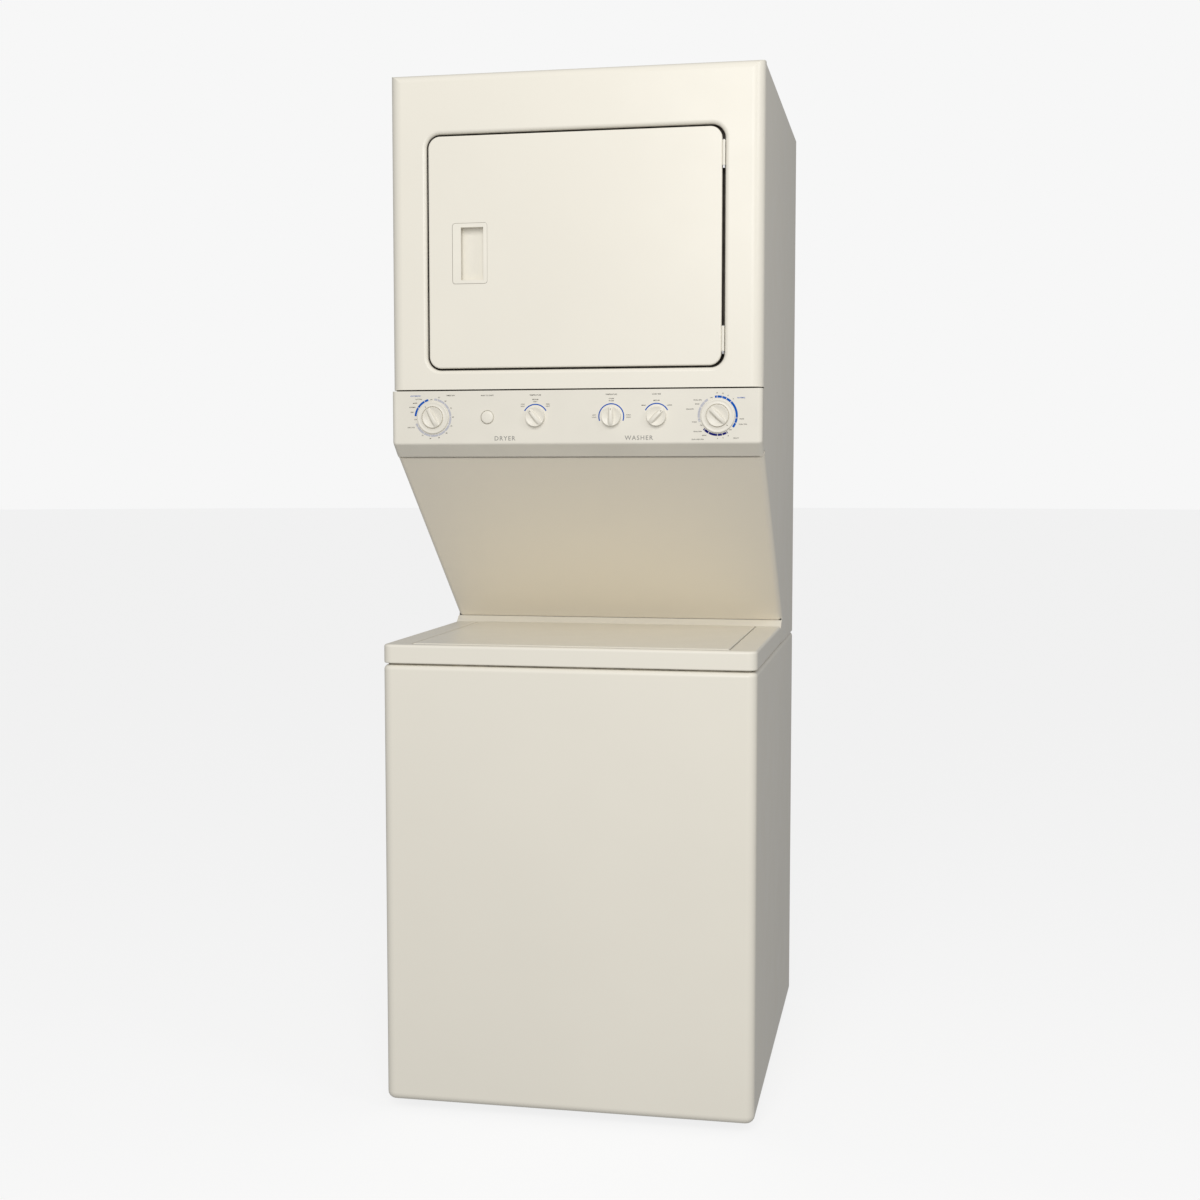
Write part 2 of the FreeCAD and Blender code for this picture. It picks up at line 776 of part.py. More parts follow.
def dryer_door():
    low = d.recess_low + d.door_gap
    high = d.recess_high - d.door_gap
    skin_front = face + 1
    outer_block = rounded_block(
        "DoorOuter", (d.door_left, d.door_right), (skin_front, skin_front + d.door_deep), (low, high), 22
    )
    outer = rounded("DoorEased", outer_block, [(3, lies_at("y", skin_front))])
    inner = rounded_block(
        "DoorHollow",
        (d.door_left + d.skin, d.door_right - d.skin),
        (skin_front + d.skin, skin_front + d.door_deep + 5),
        (low + d.skin, high - d.skin),
        22 - d.skin,
    )
    pull_x = (d.pull_left - d.play, d.pull_left + d.pull_wide + d.play)
    pull_z = (d.pull_z - d.pull_tall / 2 - d.play, d.pull_z + d.pull_tall / 2 + d.play)
    window = rounded_block("PullWindow", pull_x, (face - 5, face + 10), pull_z, 5.4)
    node("dryer_door_skin", cut("DryerDoorSkin", outer, inner, window))

    back = skin_front + d.door_deep
    flange = rounded_block(
        "InnerFlange",
        (d.door_left + d.skin + 0.5, d.door_right - d.skin - 0.5),
        (back - 1.5, back),
        (low + d.skin + 0.5, high - d.skin - 0.5),
        20,
    )
    plug = rounded_block(
        "InnerPlug",
        (-d.port_half + 12, d.port_half - 12),
        (back - 1.5, back + 24),
        (d.port_low + 12, d.port_high - 12),
        d.port_round - 12,
    )
    plug_hollow = rounded_block(
        "InnerPlugHollow",
        (-d.port_half + 13.5, d.port_half - 13.5),
        (back - 5, back + 22.5),
        (d.port_low + 13.5, d.port_high - 13.5),
        d.port_round - 13.5,
    )
    pan = rounded("InnerPlugEased", plug, [(6, lies_at("y", back + 24))])
    room = rounded("InnerHollowEased", plug_hollow, [(4.5, lies_at("y", back + 22.5))])
    node("dryer_door_inner", cut("DryerDoorInner", join("InnerPanel", [flange, pan]), room))

    seal = cut(
        "DoorSeal",
        rounded_block(
            "SealOuter",
            (-d.port_half - 10, d.port_half + 10),
            (back, back + 4.6),
            (d.port_low - 10, d.port_high + 10),
            d.port_round + 10,
        ),
        rounded_block(
            "SealInner",
            (-d.port_half + 1, d.port_half - 1),
            (back - 5, back + 10),
            (d.port_low + 1, d.port_high - 1),
            d.port_round - 1,
        ),
    )
    node("door_seal", seal)

    strike = join(
        "DoorStrike",
        [
            box("StrikeStem", (-259, -253), (back, back + 13), (1575, 1589)),
            box("StrikeHead", (-260, -252), (back + 9, back + 13), (1574, 1590)),
        ],
    )
    node("door_strike", strike)


def door_pull():
    low = d.pull_z - d.pull_tall / 2
    high = d.pull_z + d.pull_tall / 2
    right = d.pull_left + d.pull_wide
    inside = (low + 6.5, high - 7.5)
    block = rounded_block("PullBlock", (d.pull_left, right), (face + 0.6, face + 16), (low, high), 5)
    pocket = box("PullPocket", (d.pull_left + 16, right - 7), (face - 5, face + 14.5), inside)
    undercut = box("PullUndercut", (d.pull_left + 3, d.pull_left + 20), (face + 4, face + 14.5), inside)
    eased = rounded("PullEased", block, [(1, lies_at("y", face + 0.6))])
    node("door_pull", cut("DoorPull", eased, pocket, undercut))


def door_hinges():
    barrels = []
    brackets = []
    axis_y = d.front + d.hinge_y
    for i, z in enumerate((d.hinge_low_z, d.hinge_high_z)):
        low = z - d.hinge_tall / 2
        tall = (low, low + d.hinge_tall)
        barrel = rod(f"Barrel{i}", "z", (d.hinge_x, axis_y, low), d.barrel_r, d.hinge_tall)
        leaf = box(f"Leaf{i}", (d.door_right, d.door_right + 1.2), (axis_y, axis_y + 13), tall)
        bore = rod(f"BarrelBore{i}", "z", (d.hinge_x, axis_y, low - 5), d.pin_r + 0.05, d.hinge_tall + 10)
        barrels.append(cut(f"HingeBarrel{i}", join(f"BarrelLeaf{i}", [barrel, leaf]), bore))
        knuckle = rod(f"Knuckle{i}", "z", (d.hinge_x, axis_y, low - 5), d.barrel_r - 0.2, 4.6)
        plate = box(f"Plate{i}", (d.recess_right - 1, d.recess_right), (face + 9.5, face + 22), tall)
        under = (low - 5, low - 0.4)
        web = box(f"Web{i}", (d.hinge_x - 0.6, d.recess_right - 0.6), (axis_y, face + 14), under)
        strap_x = (d.hinge_x + 1.7, d.recess_right - 0.6)
        strap = box(f"Strap{i}", strap_x, (face + 9.5, face + 14), (low - 5, low + 5))
        pin_hole = rod(f"KnuckleBore{i}", "z", (d.hinge_x, axis_y, low - 10), d.pin_r, 20)
        solid = join(f"BracketSolid{i}", [knuckle, plate, web, strap])
        brackets.append(cut(f"HingeBracket{i}", solid, pin_hole))
        brackets.append(rod(f"HingePin{i}", "z", (d.hinge_x, axis_y, low - 5), d.pin_r, d.hinge_tall + 6))
    node("door_hinge_barrels", group("DoorHingeBarrels", barrels))
    node("door_hinge_brackets", group("DoorHingeBrackets", brackets))


def door_catch():
    floor_back = face + d.recess_deep + d.skin
    block = box("CatchBlock", (-268, -244), (floor_back, floor_back + 16), (1562, 1602))
    slot = box("CatchSlot", (-263, -249), (floor_back - 5, floor_back + 12), (1568, 1596))
    node("door_catch", cut("DoorCatch", block, slot))


def door_switch():
    floor_back = face + d.recess_deep + d.skin
    tip = face + 1 + d.door_deep + 0.3
    node("door_switch_plunger", rod("DoorPlunger", "y", (d.switch_x, tip, d.switch_z), d.plunger_r, 20))
    side, tall = (d.switch_x - 9, d.switch_x + 9), (d.switch_z - 16, d.switch_z + 16)
    case = box("DoorSwitchCase", side, (floor_back, floor_back + 24), tall)
    bore = rod("DoorSwitchBore", "y", (d.switch_x, floor_back - 5, d.switch_z), d.plunger_r + 0.05, 24)
    return cut("DoorSwitch", case, bore)


def console_panel():
    profile = [
        (face, d.console_z),
        (face, d.bevel_z),
        (face + d.bevel_y, d.console_low),
        (face + d.wrap, d.console_low),
        (face + d.wrap, d.console_z),
    ]
    block = extruded("ConsoleBlock", "YZ_Plane", [profile], d.width, midplane=True)

    def end_edges(edge):
        """Both ends of the bevel, which round into the sides."""
        bounds = edge.BoundBox
        return bounds.XLength < 0.01 and bounds.YLength > 5 and bounds.ZLength > 5

    solid = rounded(
        "ConsoleRounded",
        block,
        [
            (d.console_round, runs("z", lies_at("y", face))),
            (d.console_round, end_edges),
            (6, runs("x", lies_at("y", face), lies_at("z", d.bevel_z))),
            (1.2, runs("x", lies_at("y", face), lies_at("z", d.console_z))),
        ],
    )
    inner = [
        (face + 2.5, d.console_z - 2.5),
        (face + 2.5, d.bevel_z + 2),
        (face + d.bevel_y + 2, d.console_low + 2.5),
        (face + d.wrap + 5, d.console_low + 2.5),
        (face + d.wrap + 5, d.console_z - 2.5),
    ]
    hollow = extruded("ConsoleHollow", "YZ_Plane", [inner], d.width - 2 * 13, midplane=True)
    shafts = [(x, 6) for x in (d.dryer_timer_x, d.washer_timer_x, *selectors)]
    holes = [
        rod(f"ConsoleHole{i}", "y", (x, face - 5, d.knob_z), radius, 20)
        for i, (x, radius) in enumerate([*shafts, (d.start_x, d.button_r + 1.2)])
    ]
    node("console_panel", cut("ConsolePanel", solid, hollow, *holes))


# ---------------------------------------------------------------- knobs, dials and switches
def grip_knob(name, x, radius, base, deep, angle, clearance):
    """A round cap with a finger ridge across it, turned to angle degrees clockwise from upright.

    base is how far its back stands in front of the panel.
    """
    cap_front = -(base + deep)
    bore = d.shaft_r + clearance
    profile = [
        (-base, bore),
        (-base, radius),
        (cap_front + 2.5, radius - 0.6),
        (cap_front, radius - 3),
        (cap_front, 0),
        (cap_front + 4, 0),
        (cap_front + 4, bore),
    ]
    spin = Rotation(Vector(0, 1, 0), angle)
    cap = turned(name + "Cap", "YZ_Plane", "H_Axis", profile, (x, face, d.knob_z), spin)
    narrow, broad = radius * 0.16, radius * 0.24
    low, high = radius * -0.9, radius * 0.92
    outline = [(-broad, low), (broad, low), (narrow, high), (-narrow, high)]
    ridge = body(name + "Ridge", (x, face, d.knob_z), spin)
    drawn = sketch(ridge, name + "RidgeOutline", "XZ_Plane", [outline], offset=-cap_front - 3)
    pad = ridge.newObject("PartDesign::Pad", name + "RidgePad")
    pad.Profile = drawn
    pad.Length = 8
    return [cap, ridge]


def timer_skirt(name, x, radius, angle, clearance):
    """The flat skirt behind a timer's cap, with the mark that shows where the dial points."""
    bore = d.shaft_r + clearance
    profile = [(-3.4, bore), (-3.4, radius - 1.5), (-2.4, radius), (-0.4, radius), (-0.4, bore)]
    skirt = turned(name + "Skirt", "YZ_Plane", "H_Axis", profile, (x, face, d.knob_z))
    pointer = body(name + "Pointer", (x, face, d.knob_z), Rotation(Vector(0, 1, 0), angle))
    outline = [(-0.7, 22.5), (0.7, 22.5), (0.7, 26.5), (-0.7, 26.5)]
    drawn = sketch(pointer, name + "PointerOutline", "XZ_Plane", [outline], offset=3.2)
    pad = pointer.newObject("PartDesign::Pad", name + "PointerPad")
    pad.Profile = drawn
    pad.Length = 0.4
    return [skirt, pointer]


def shaft_rod(name, x, start, length):
    return rod(name, "y", (x, start, d.knob_z), d.shaft_r, length)


def controls():
    x = d.dryer_timer_x
    knob = grip_knob("DryerTimerKnob", x, d.cap_r, 3.4, 5, -28, 0)
    skirt = timer_skirt("DryerTimer", x, d.dial_r, -33, 0)
    shaft = shaft_rod("DryerTimerShaft", x, face - 6, 27.6)
    node("dryer_timer_knob", join("DryerTimerKnob", [*knob, *skirt, shaft]))

    x = d.washer_timer_x
    knob = grip_knob("WasherTimerKnob", x, d.cap_r + 0.8, 3.4, 5, 135, 0.05)
    skirt = timer_skirt("WasherTimer", x, d.dial_r + 0.8, 135, 0.05)
    node("washer_timer_knob", join("WasherTimerKnob", [*knob, *skirt]))
    collar = rod("WasherShaftCollar", "y", (x, face + 8, d.knob_z), 5, 3)
    shaft = shaft_rod("WasherShaft", x, face - 4.2, 25.8)
    node("washer_timer_shaft", join("WasherTimerShaft", [shaft, collar]))

    names = ("dryer_temperature_knob", "washer_temperature_knob", "load_size_knob")
    for label, x, angle in zip(names, selectors, (-40, 0, 45)):
        name = label.title().replace("_", "")
        knob = grip_knob(name, x, d.selector_r, 0.4, 7.5, angle, 0)
        node(label, join(name, [*knob, shaft_rod(name + "Shaft", x, face - 6, 12)]))

    profile = [(-3.5, 0), (-3.5, d.button_r - 2.5), (-1.5, d.button_r), (9, d.button_r), (9, 0)]
    button = turned("StartButton", "YZ_Plane", "H_Axis", profile, (d.start_x, face, d.knob_z))
    node("start_button", button)


def control_switches():
    """The timers, the selector switches, the start switch and the door switch."""
    cases = [door_switch()]
    tall = (d.knob_z - 30, d.knob_z + 30)
    for name, x in (("Dryer", d.dryer_timer_x), ("Washer", d.washer_timer_x)):
        case = box(f"{name}TimerCase", (x - 34, x + 34), (face + 14, face + 56), tall)
        hole = rod(f"{name}TimerBore", "y", (x, face + 10, d.knob_z), d.shaft_r + 0.05, 22)
        cases.append(cut(f"{name}Timer", case, hole))
    height = (d.knob_z - 16, d.knob_z + 16)
    for i, (x, gap) in enumerate([(x, 8) for x in selectors] + [(d.start_x, 14)]):
        cases.append(box(f"SwitchCase{i}", (x - 16, x + 16), (face + gap, face + gap + 26), height))
    node("control_switches", group("ControlSwitches", cases))


# ---------------------------------------------------------------- dryer drum and air path
def drum():
    front = d.front + d.drum_front
    rear = d.front + d.drum_rear
    wall = 1.0
    profile = [
        (front, d.drum_r - 30),
        (front, d.drum_r),
        (rear, d.drum_r),
        (rear, 12),
        (rear - wall, 12),
        (rear - wall, d.drum_r - wall),
        (front + wall, d.drum_r - wall),
        (front + wall, d.drum_r - 30),
    ]
    shell = turned("DryerDrumShell", "YZ_Plane", "H_Axis", profile, (0, 0, d.drum_z))
    stub = rod("DrumStub", "y", (0, rear - 4, d.drum_z), 12, 22)
    flange = rod("DrumStubFlange", "y", (0, rear - 4, d.drum_z), 34, 3)
    node("dryer_drum", join("DryerDrum", [shell, stub, flange]))

    baffles = []
    for i in range(3):
        angle = 90 + 120 * i
        foot, crest = -(d.drum_r - 8), -(d.drum_r - 66)
        outline = [(-30, foot), (30, foot), (9, crest), (-9, crest)]
        made = body(f"Baffle{i}", (0, 0, d.drum_z), Rotation(Vector(0, 1, 0), angle))
        drawn = sketch(made, f"BaffleOutline{i}", "XZ_Plane", [outline], offset=-(front + 40))
        pad = made.newObject("PartDesign::Pad", f"BafflePad{i}")
        pad.Profile = drawn
        bind(pad, "Length", d.drum_rear - d.drum_front - 90)
        pad.Reversed = True
        baffles.append(made)
    node("drum_baffles", group("DrumBaffles", baffles))


def bulkheads():
    plate_y = d.front + d.bulkhead_y
    side = half - d.skin - 2
    plate = box("FrontBulkheadPlate", (-side, side), (plate_y, plate_y + d.skin), (1248, d.top_z - 20))
    ring = rod("DrumRing", "y", (0, plate_y, d.drum_z), d.drum_r - 34, 22)
    ring_hole = rod("DrumRingHole", "y", (0, plate_y - 5, d.drum_z), d.drum_r - 35.5, 40)
    collar = rounded_block(
        "PortCollar",
        (-d.port_half - 1.5, d.port_half + 1.5),
        (face + d.recess_deep + d.skin, plate_y + d.skin),
        (d.port_low - 1.5, d.port_high + 1.5),
        d.port_round + 1.5,
    )
    port = rounded_block(
        "PortHole",
        (-d.port_half, d.port_half),
        (face, plate_y + 30),
        (d.port_low, d.port_high),
        d.port_round,
    )
    band = cut("DrumRingBand", ring, ring_hole)
    solid = join("FrontBulkheadSolid", [plate, collar, band, *lint_duct(plate_y)])
    slot = box("LintSlot", (-120, 120), (plate_y - 28, plate_y - 16), (1240, 1425))
    airway = box("LintAirway", (-100, 100), (plate_y - 20, plate_y + 5), (1262, 1364))
    chute_room = chute("ChuteRoom", CHUTE_ROOM, 246)
    node("front_bulkhead", cut("FrontBulkhead", solid, port, slot, airway, chute_room))

    rear_y = d.front + d.drum_rear + 8
    pan = rod("HeaterPan", "y", (0, rear_y, d.drum_z), d.drum_r - 4, 34)
    pan_hollow = rod("HeaterPanHollow", "y", (0, rear_y + d.skin, d.drum_z), d.drum_r - 6, 40)
    brace = box("RearBrace", (-side, side), (rear_y, rear_y + d.skin), (1248, d.top_z - 20))
    bearing = rod("DrumBearing", "y", (0, rear_y - 4, d.drum_z), 22, 16)
    bore = rod("DrumBearingBore", "y", (0, rear_y - 10, d.drum_z), 12.05, 60)
    shell = cut("HeaterPanShell", pan, pan_hollow)
    rear_piece = cut("RearBulkhead", join("RearBulkheadSolid", [shell, brace, bearing]), bore)
    node("rear_bulkhead", rear_piece)

    coils = []
    for i, radius in enumerate((190, 220, 250)):
        coil = doc.addObject("Part::Torus", f"HeaterCoil{i}")
        coil.Placement = Placement(Vector(), TURNS["y"])
        bind(coil, "Placement.Base.y", rear_y + 18)
        bind(coil, "Placement.Base.z", d.drum_z)
        coil.Radius1 = radius
        coil.Radius2 = 3.2
        coils.append(coil)
    for i in range(4):
        angle = math.radians(45 + 90 * i)
        x, z = 220 * math.cos(angle), 220 * math.sin(angle)
        tall = (d.drum_z + z - 36, d.drum_z + z + 36)
        coils.append(box(f"CoilHolder{i}", (x - 4, x + 4), (rear_y + d.skin, rear_y + 24), tall))
    node("heater_coil", join("HeaterCoil", coils))


def lint_duct(plate_y):
    """The pocket that the lint filter slides down into, and the chute from it to the blower."""
    pocket = box("LintPocket", (-124, 124), (plate_y - 30, plate_y + 0.6), (1236, 1402))
    return [pocket, chute("Chute", CHUTE, 250)]


# The sloping air duct between the slanted panel and the drum, and the room in it, open at both ends:
# corners by distance behind the front and height.
CHUTE = [(138, 1242), (163, 1242), (336, 1186), (336, 1072), (160, 1212), (138, 1228)]
CHUTE_ROOM = [(140, 1250), (150, 1250), (342, 1184), (342, 1072), (160, 1214), (140, 1230)]


def chute(name, corners, width):
    outline = [(d.front + behind, high) for behind, high in corners]
    return extruded(name, "YZ_Plane", [outline], width, offset=-35, midplane=True)


def lint_filter():
    y = d.front + d.bulkhead_y - 22
    frame = box("LintFrame", (-118, 118), (y - 3, y + 3), (1246, 1398))
    window = box("LintWindow", (-106, 106), (y - 10, y + 10), (1256, 1386))
    grip = box("LintGrip", (-60, 60), (y - 5, y + 5), (1398, 1406))
    screen = box("LintScreen", (-107, 107), (y - 0.6, y + 0.6), (1255, 1387))
    node("lint_filter", join("LintFilter", [cut("LintRim", frame, window), grip, screen]))


def tangent_belt(name, axis, centre_a, radius_a, centre_b, radius_b, thick, start, width):
    """A belt round two pulleys: the straight runs and arcs of their outer tangents."""
    ax, ay = centre_a
    bx, by = centre_b
    span = math.hypot(bx - ax, by - ay)
    heading = math.atan2(by - ay, bx - ax)
    lean = math.acos((radius_a - radius_b) / span)

    def loop(extra):
        ra, rb = radius_a + extra, radius_b + extra

        def at(cx, cy, r, angle):
            return Vector(cx + r * math.cos(angle), cy + r * math.sin(angle), 0)

        up, down = heading + lean, heading - lean
        far, near = heading + math.pi, heading
        edges = [
            Part.Arc(at(ax, ay, ra, up), at(ax, ay, ra, far), at(ax, ay, ra, down + 2 * math.pi)).toShape(),
            Part.LineSegment(at(ax, ay, ra, down), at(bx, by, rb, down)).toShape(),
            Part.Arc(at(bx, by, rb, down), at(bx, by, rb, near), at(bx, by, rb, up)).toShape(),
            Part.LineSegment(at(bx, by, rb, up), at(ax, ay, ra, up)).toShape(),
        ]
        return Part.Face(Part.Wire(edges))

    band = loop(thick).cut(loop(0)).extrude(Vector(0, 0, width))
    if axis == "y":
        band.rotate(Vector(), Vector(1, 0, 0), 90)
        band.translate(Vector(0, start + width, 0))
    else:
        band.translate(Vector(0, 0, start))
    belt = doc.addObject("Part::Feature", name)
    belt.Shape = band
    return belt


def dryer_drive():
    x, z = d.motor_x, d.motor_z
    motor_start = d.front + 440
    case = rod("DryerMotorCase", "y", (x, motor_start, z), d.motor_r, 140)
    nose = rod("DryerMotorNose", "y", (x, motor_start + 140, z), 24, 12)
    feet = box("DryerMotorFeet", (x - 55, x + 55), (motor_start + 15, motor_start + 125), (d.shelf_z, z - 40))
    bore = rod("DryerMotorBore", "y", (x, motor_start - 5, z), 6.05, 180)
    room = rod("DryerMotorRoom", "y", (x, motor_start + 8, z), d.motor_r - 8, 124)
    vent_y = (motor_start + 45, motor_start + 95)
    vent = box("DryerMotorVent", (x - 14, x + 14), vent_y, (z, z + d.motor_r + 5))
    solid = join("DryerMotorSolid", [case, nose, feet])
    node("dryer_motor", cut("DryerMotor", solid, room, vent, bore))

    belt_y = d.front + d.belt_y
    shaft = rod("RotorShaft", "y", (x, d.front + 352, z), 6, d.belt_y - 352 + 12)
    pulley = rod("RotorPulley", "y", (x, belt_y - 7, z), d.pulley_r - 0.3, 14)
    rims = [
        rod(f"RotorRim{i}", "y", (x, belt_y + offset, z), d.pulley_r + 4, 2)
        for i, offset in enumerate((-9, 7))
    ]
    core = rod("RotorCore", "y", (x, motor_start + 35, z), 32, 70)
    node("motor_rotor", join("MotorRotor", [shaft, core, pulley, *rims]))

    belt = tangent_belt(
        "DrumBelt", "y",
        (0, number_of(d.drum_z)), number_of(d.drum_r) + 0.3,
        (number_of(x), number_of(z)), number_of(d.pulley_r),
        2.0, number_of(belt_y) - 4.5, 9.0,
    )
    node("drum_belt", belt)

    idler_x = outside_belt(d.idler_r + 2.5, d.idler_z)
    wheel = rod("IdlerWheel", "y", (idler_x, belt_y - 6, d.idler_z), d.idler_r, 12)
    wheel_bore = rod("IdlerBore", "y", (idler_x, belt_y - 10, d.idler_z), 4.05, 20)
    node("idler_pulley", cut("IdlerPulley", wheel, wheel_bore))
    span = (d.idler_pivot_z, d.idler_z + 6)
    lever = box("IdlerLever", (idler_x - 8, idler_x + 8), (belt_y - 14, belt_y - 10.5), span)
    axle = rod("IdlerAxle", "y", (idler_x, belt_y - 14, d.idler_z), 4, 26)
    pivot = rod("IdlerPivot", "y", (idler_x, belt_y - 36, d.idler_pivot_z), 6, 26)
    node("idler_arm", join("IdlerArm", [lever, axle, pivot]))

    shelf = box(
        "MotorShelfPlate",
        (d.skin - half, half - d.skin),
        (d.front + 342, back - 4),
        (d.shelf_z - d.skin, d.shelf_z),
    )
    post = box("IdlerPost", (idler_x - 12, idler_x + 12), (belt_y - 34, belt_y - 20), (d.shelf_z - 1, 1140))
    seat = rod("IdlerPostBore", "y", (idler_x, belt_y - 45, d.idler_pivot_z), 6.05, 40)
    node("motor_shelf", cut("MotorShelf", join("MotorShelfSolid", [shelf, post]), seat))


def outside_belt(distance, z):
    """The x of a point at height z that lies distance outside the drum belt's left run."""
    run_x, run_z = number_of(d.motor_x), number_of(d.motor_z - d.drum_z)
    lean = math.acos((number_of(d.drum_r) + 0.3 - number_of(d.pulley_r)) / math.hypot(run_x, run_z))
    normal = math.atan2(run_z, run_x) - lean
    reach = number_of(d.drum_r) + 0.3 + number_of(distance)
    drop = number_of(z - d.drum_z)
    return (reach - drop * math.sin(normal)) / math.cos(normal)


def air_path():
    x, z = d.motor_x, d.motor_z
    start = d.front + 340
    outer = join(
        "BlowerSolid",
        [
            rod("BlowerDrum", "y", (x, start, z), d.blower_r, 66),
            box("BlowerOutlet", (x, d.exhaust_x + 56), (start, start + 66), (z - d.blower_r, z - 5)),
        ],
    )
    hollow = join(
        "BlowerHollow",
        [
            rod("BlowerRoom", "y", (x, start + 2, z), d.blower_r - 2, 62),
            box("BlowerThroat", (x, d.exhaust_x + 54), (start + 2, start + 64), (z - d.blower_r + 2, z - 7)),
        ],
    )
    inlet = rod("BlowerInlet", "y", (x, start - 5, z), 45, 12)
    shaft_hole = rod("BlowerShaftHole", "y", (x, start + 50, z), 8, 30)
    port = rod("BlowerPort", "y", (d.exhaust_x, start + 50, d.exhaust_z - 12), 30, 30)
    node("blower_housing", cut("BlowerHousing", outer, hollow, inlet, shaft_hole, port))

    wheel_disc = rod("WheelDisc", "y", (x, start + 48, z), d.blower_r - 10, 3)
    wheel_hub = rod("WheelHub", "y", (x, start + 20, z), 14, 30)
    bore = rod("WheelBore", "y", (x, start, z), 6, 80)
    blades = []
    for i in range(16):
        blade = body(f"Blade{i}", (x, start + 14, z), Rotation(Vector(0, 1, 0), 22.5 * i))
        root, tip = d.blower_r - 32, d.blower_r - 10.2
        outline = [(-0.8, root), (0.8, root), (0.8, tip), (-0.8, tip)]
        drawn = sketch(blade, f"BladeOutline{i}", "XZ_Plane", [outline])
        pad = blade.newObject("PartDesign::Pad", f"BladePad{i}")
        pad.Profile = drawn
        pad.Length = 35
        pad.Reversed = True
        blades.append(blade)
    node("blower_wheel", cut("BlowerWheel", join("BlowerWheelSolid", [wheel_disc, wheel_hub, *blades]), bore))

    pipe_start = start + 66.4
    end = d.rear + d.stub
    pipe_at = (d.exhaust_x, pipe_start, d.exhaust_z)
    pipe = rod("ExhaustPipe", "y", pipe_at, d.exhaust_r - 0.6, end - pipe_start)
    collar = rod("ExhaustCollar", "y", (d.exhaust_x, end - 28, d.exhaust_z), d.exhaust_r, 28)
    hole = rod("ExhaustBore", "y", (d.exhaust_x, pipe_start - 5, d.exhaust_z), d.exhaust_r - 1.4, 500)
    node("exhaust_duct", cut("ExhaustDuct", join("ExhaustSolid", [pipe, collar]), hole))


# ---------------------------------------------------------------- washer tub, drive and water parts
def washer_tub():
    wall = 3
    profile = [
        (40, d.tub_low),
        (d.tub_r, d.tub_low),
        (d.tub_r, d.tub_high),
        (d.tub_r - 34, d.tub_high),
        (d.tub_r - 34, d.tub_high - wall),
        (d.tub_r - wall, d.tub_high - wall),
        (d.tub_r - wall, d.tub_low + wall),
        (40, d.tub_low + wall),
    ]
    node("outer_tub", turned("OuterTub", "XZ_Plane", "V_Axis", profile, (0, tub_axis, 0)))

    wall = 1.2
    profile = [
        (30, d.basket_low),
        (d.basket_r, d.basket_low),
        (d.basket_r, d.basket_high),
        (d.basket_r - 26, d.basket_high),
        (d.basket_r - 26, d.basket_high - 34),
        (d.basket_r - 26 + wall, d.basket_high - 34),
        (d.basket_r - 26 + wall, d.basket_high - wall),
        (d.basket_r - wall, d.basket_high - wall),
        (d.basket_r - wall, d.basket_low + wall),
        (46, d.basket_low + wall),
        (46, d.basket_low + 22),
        (30, d.basket_low + 22),
    ]
    node("wash_basket", turned("WashBasket", "XZ_Plane", "V_Axis", profile, (0, tub_axis, 0)))


def agitator():
    low = d.basket_low + 24
    profile = [
        (12, low),
        (d.agitator_r + 55, low),
        (d.agitator_r + 50, low + 14),
        (d.agitator_r - 15, low + 42),
        (60, low + 110),
        (47, low + 300),
        (44, low + 380),
        (38, low + 410),
        (0, low + 418),
        (0, low + 396),
        (12, low + 396),
    ]
    column = turned("AgitatorColumn", "XZ_Plane", "V_Axis", profile, (0, tub_axis, 0))
    vanes = []
    for i in range(4):
        vane = body(f"Vane{i}", (0, tub_axis, 0), Rotation(Vector(0, 0, 1), 90 * i + 45))
        outline = [
            (40, low + 6),
            (d.agitator_r + 90, low + 6),
            (d.agitator_r + 84, low + 80),
            (d.agitator_r + 10, low + 150),
            (62, low + 310),
            (40, low + 320),
        ]
        drawn = sketch(vane, f"VaneOutline{i}", "XZ_Plane", [outline])
        pad = vane.newObject("PartDesign::Pad", f"VanePad{i}")
        pad.Profile = drawn
        pad.Length = 7
        pad.Midplane = True
        vanes.append(vane)
    shaft_room = rod("AgitatorBore", "z", (0, tub_axis, low - 5), 12, 396)
    skirt_end = (d.agitator_r + 44, low - 5)
    profile = [(0, low - 5), skirt_end, (d.agitator_r - 22, low + 36), (52, low + 96), (0, low + 110)]
    skirt_room = turned("AgitatorSkirtRoom", "XZ_Plane", "V_Axis", profile, (0, tub_axis, 0))
    node("agitator", cut("Agitator", join("AgitatorSolid", [column, *vanes]), skirt_room, shaft_room))


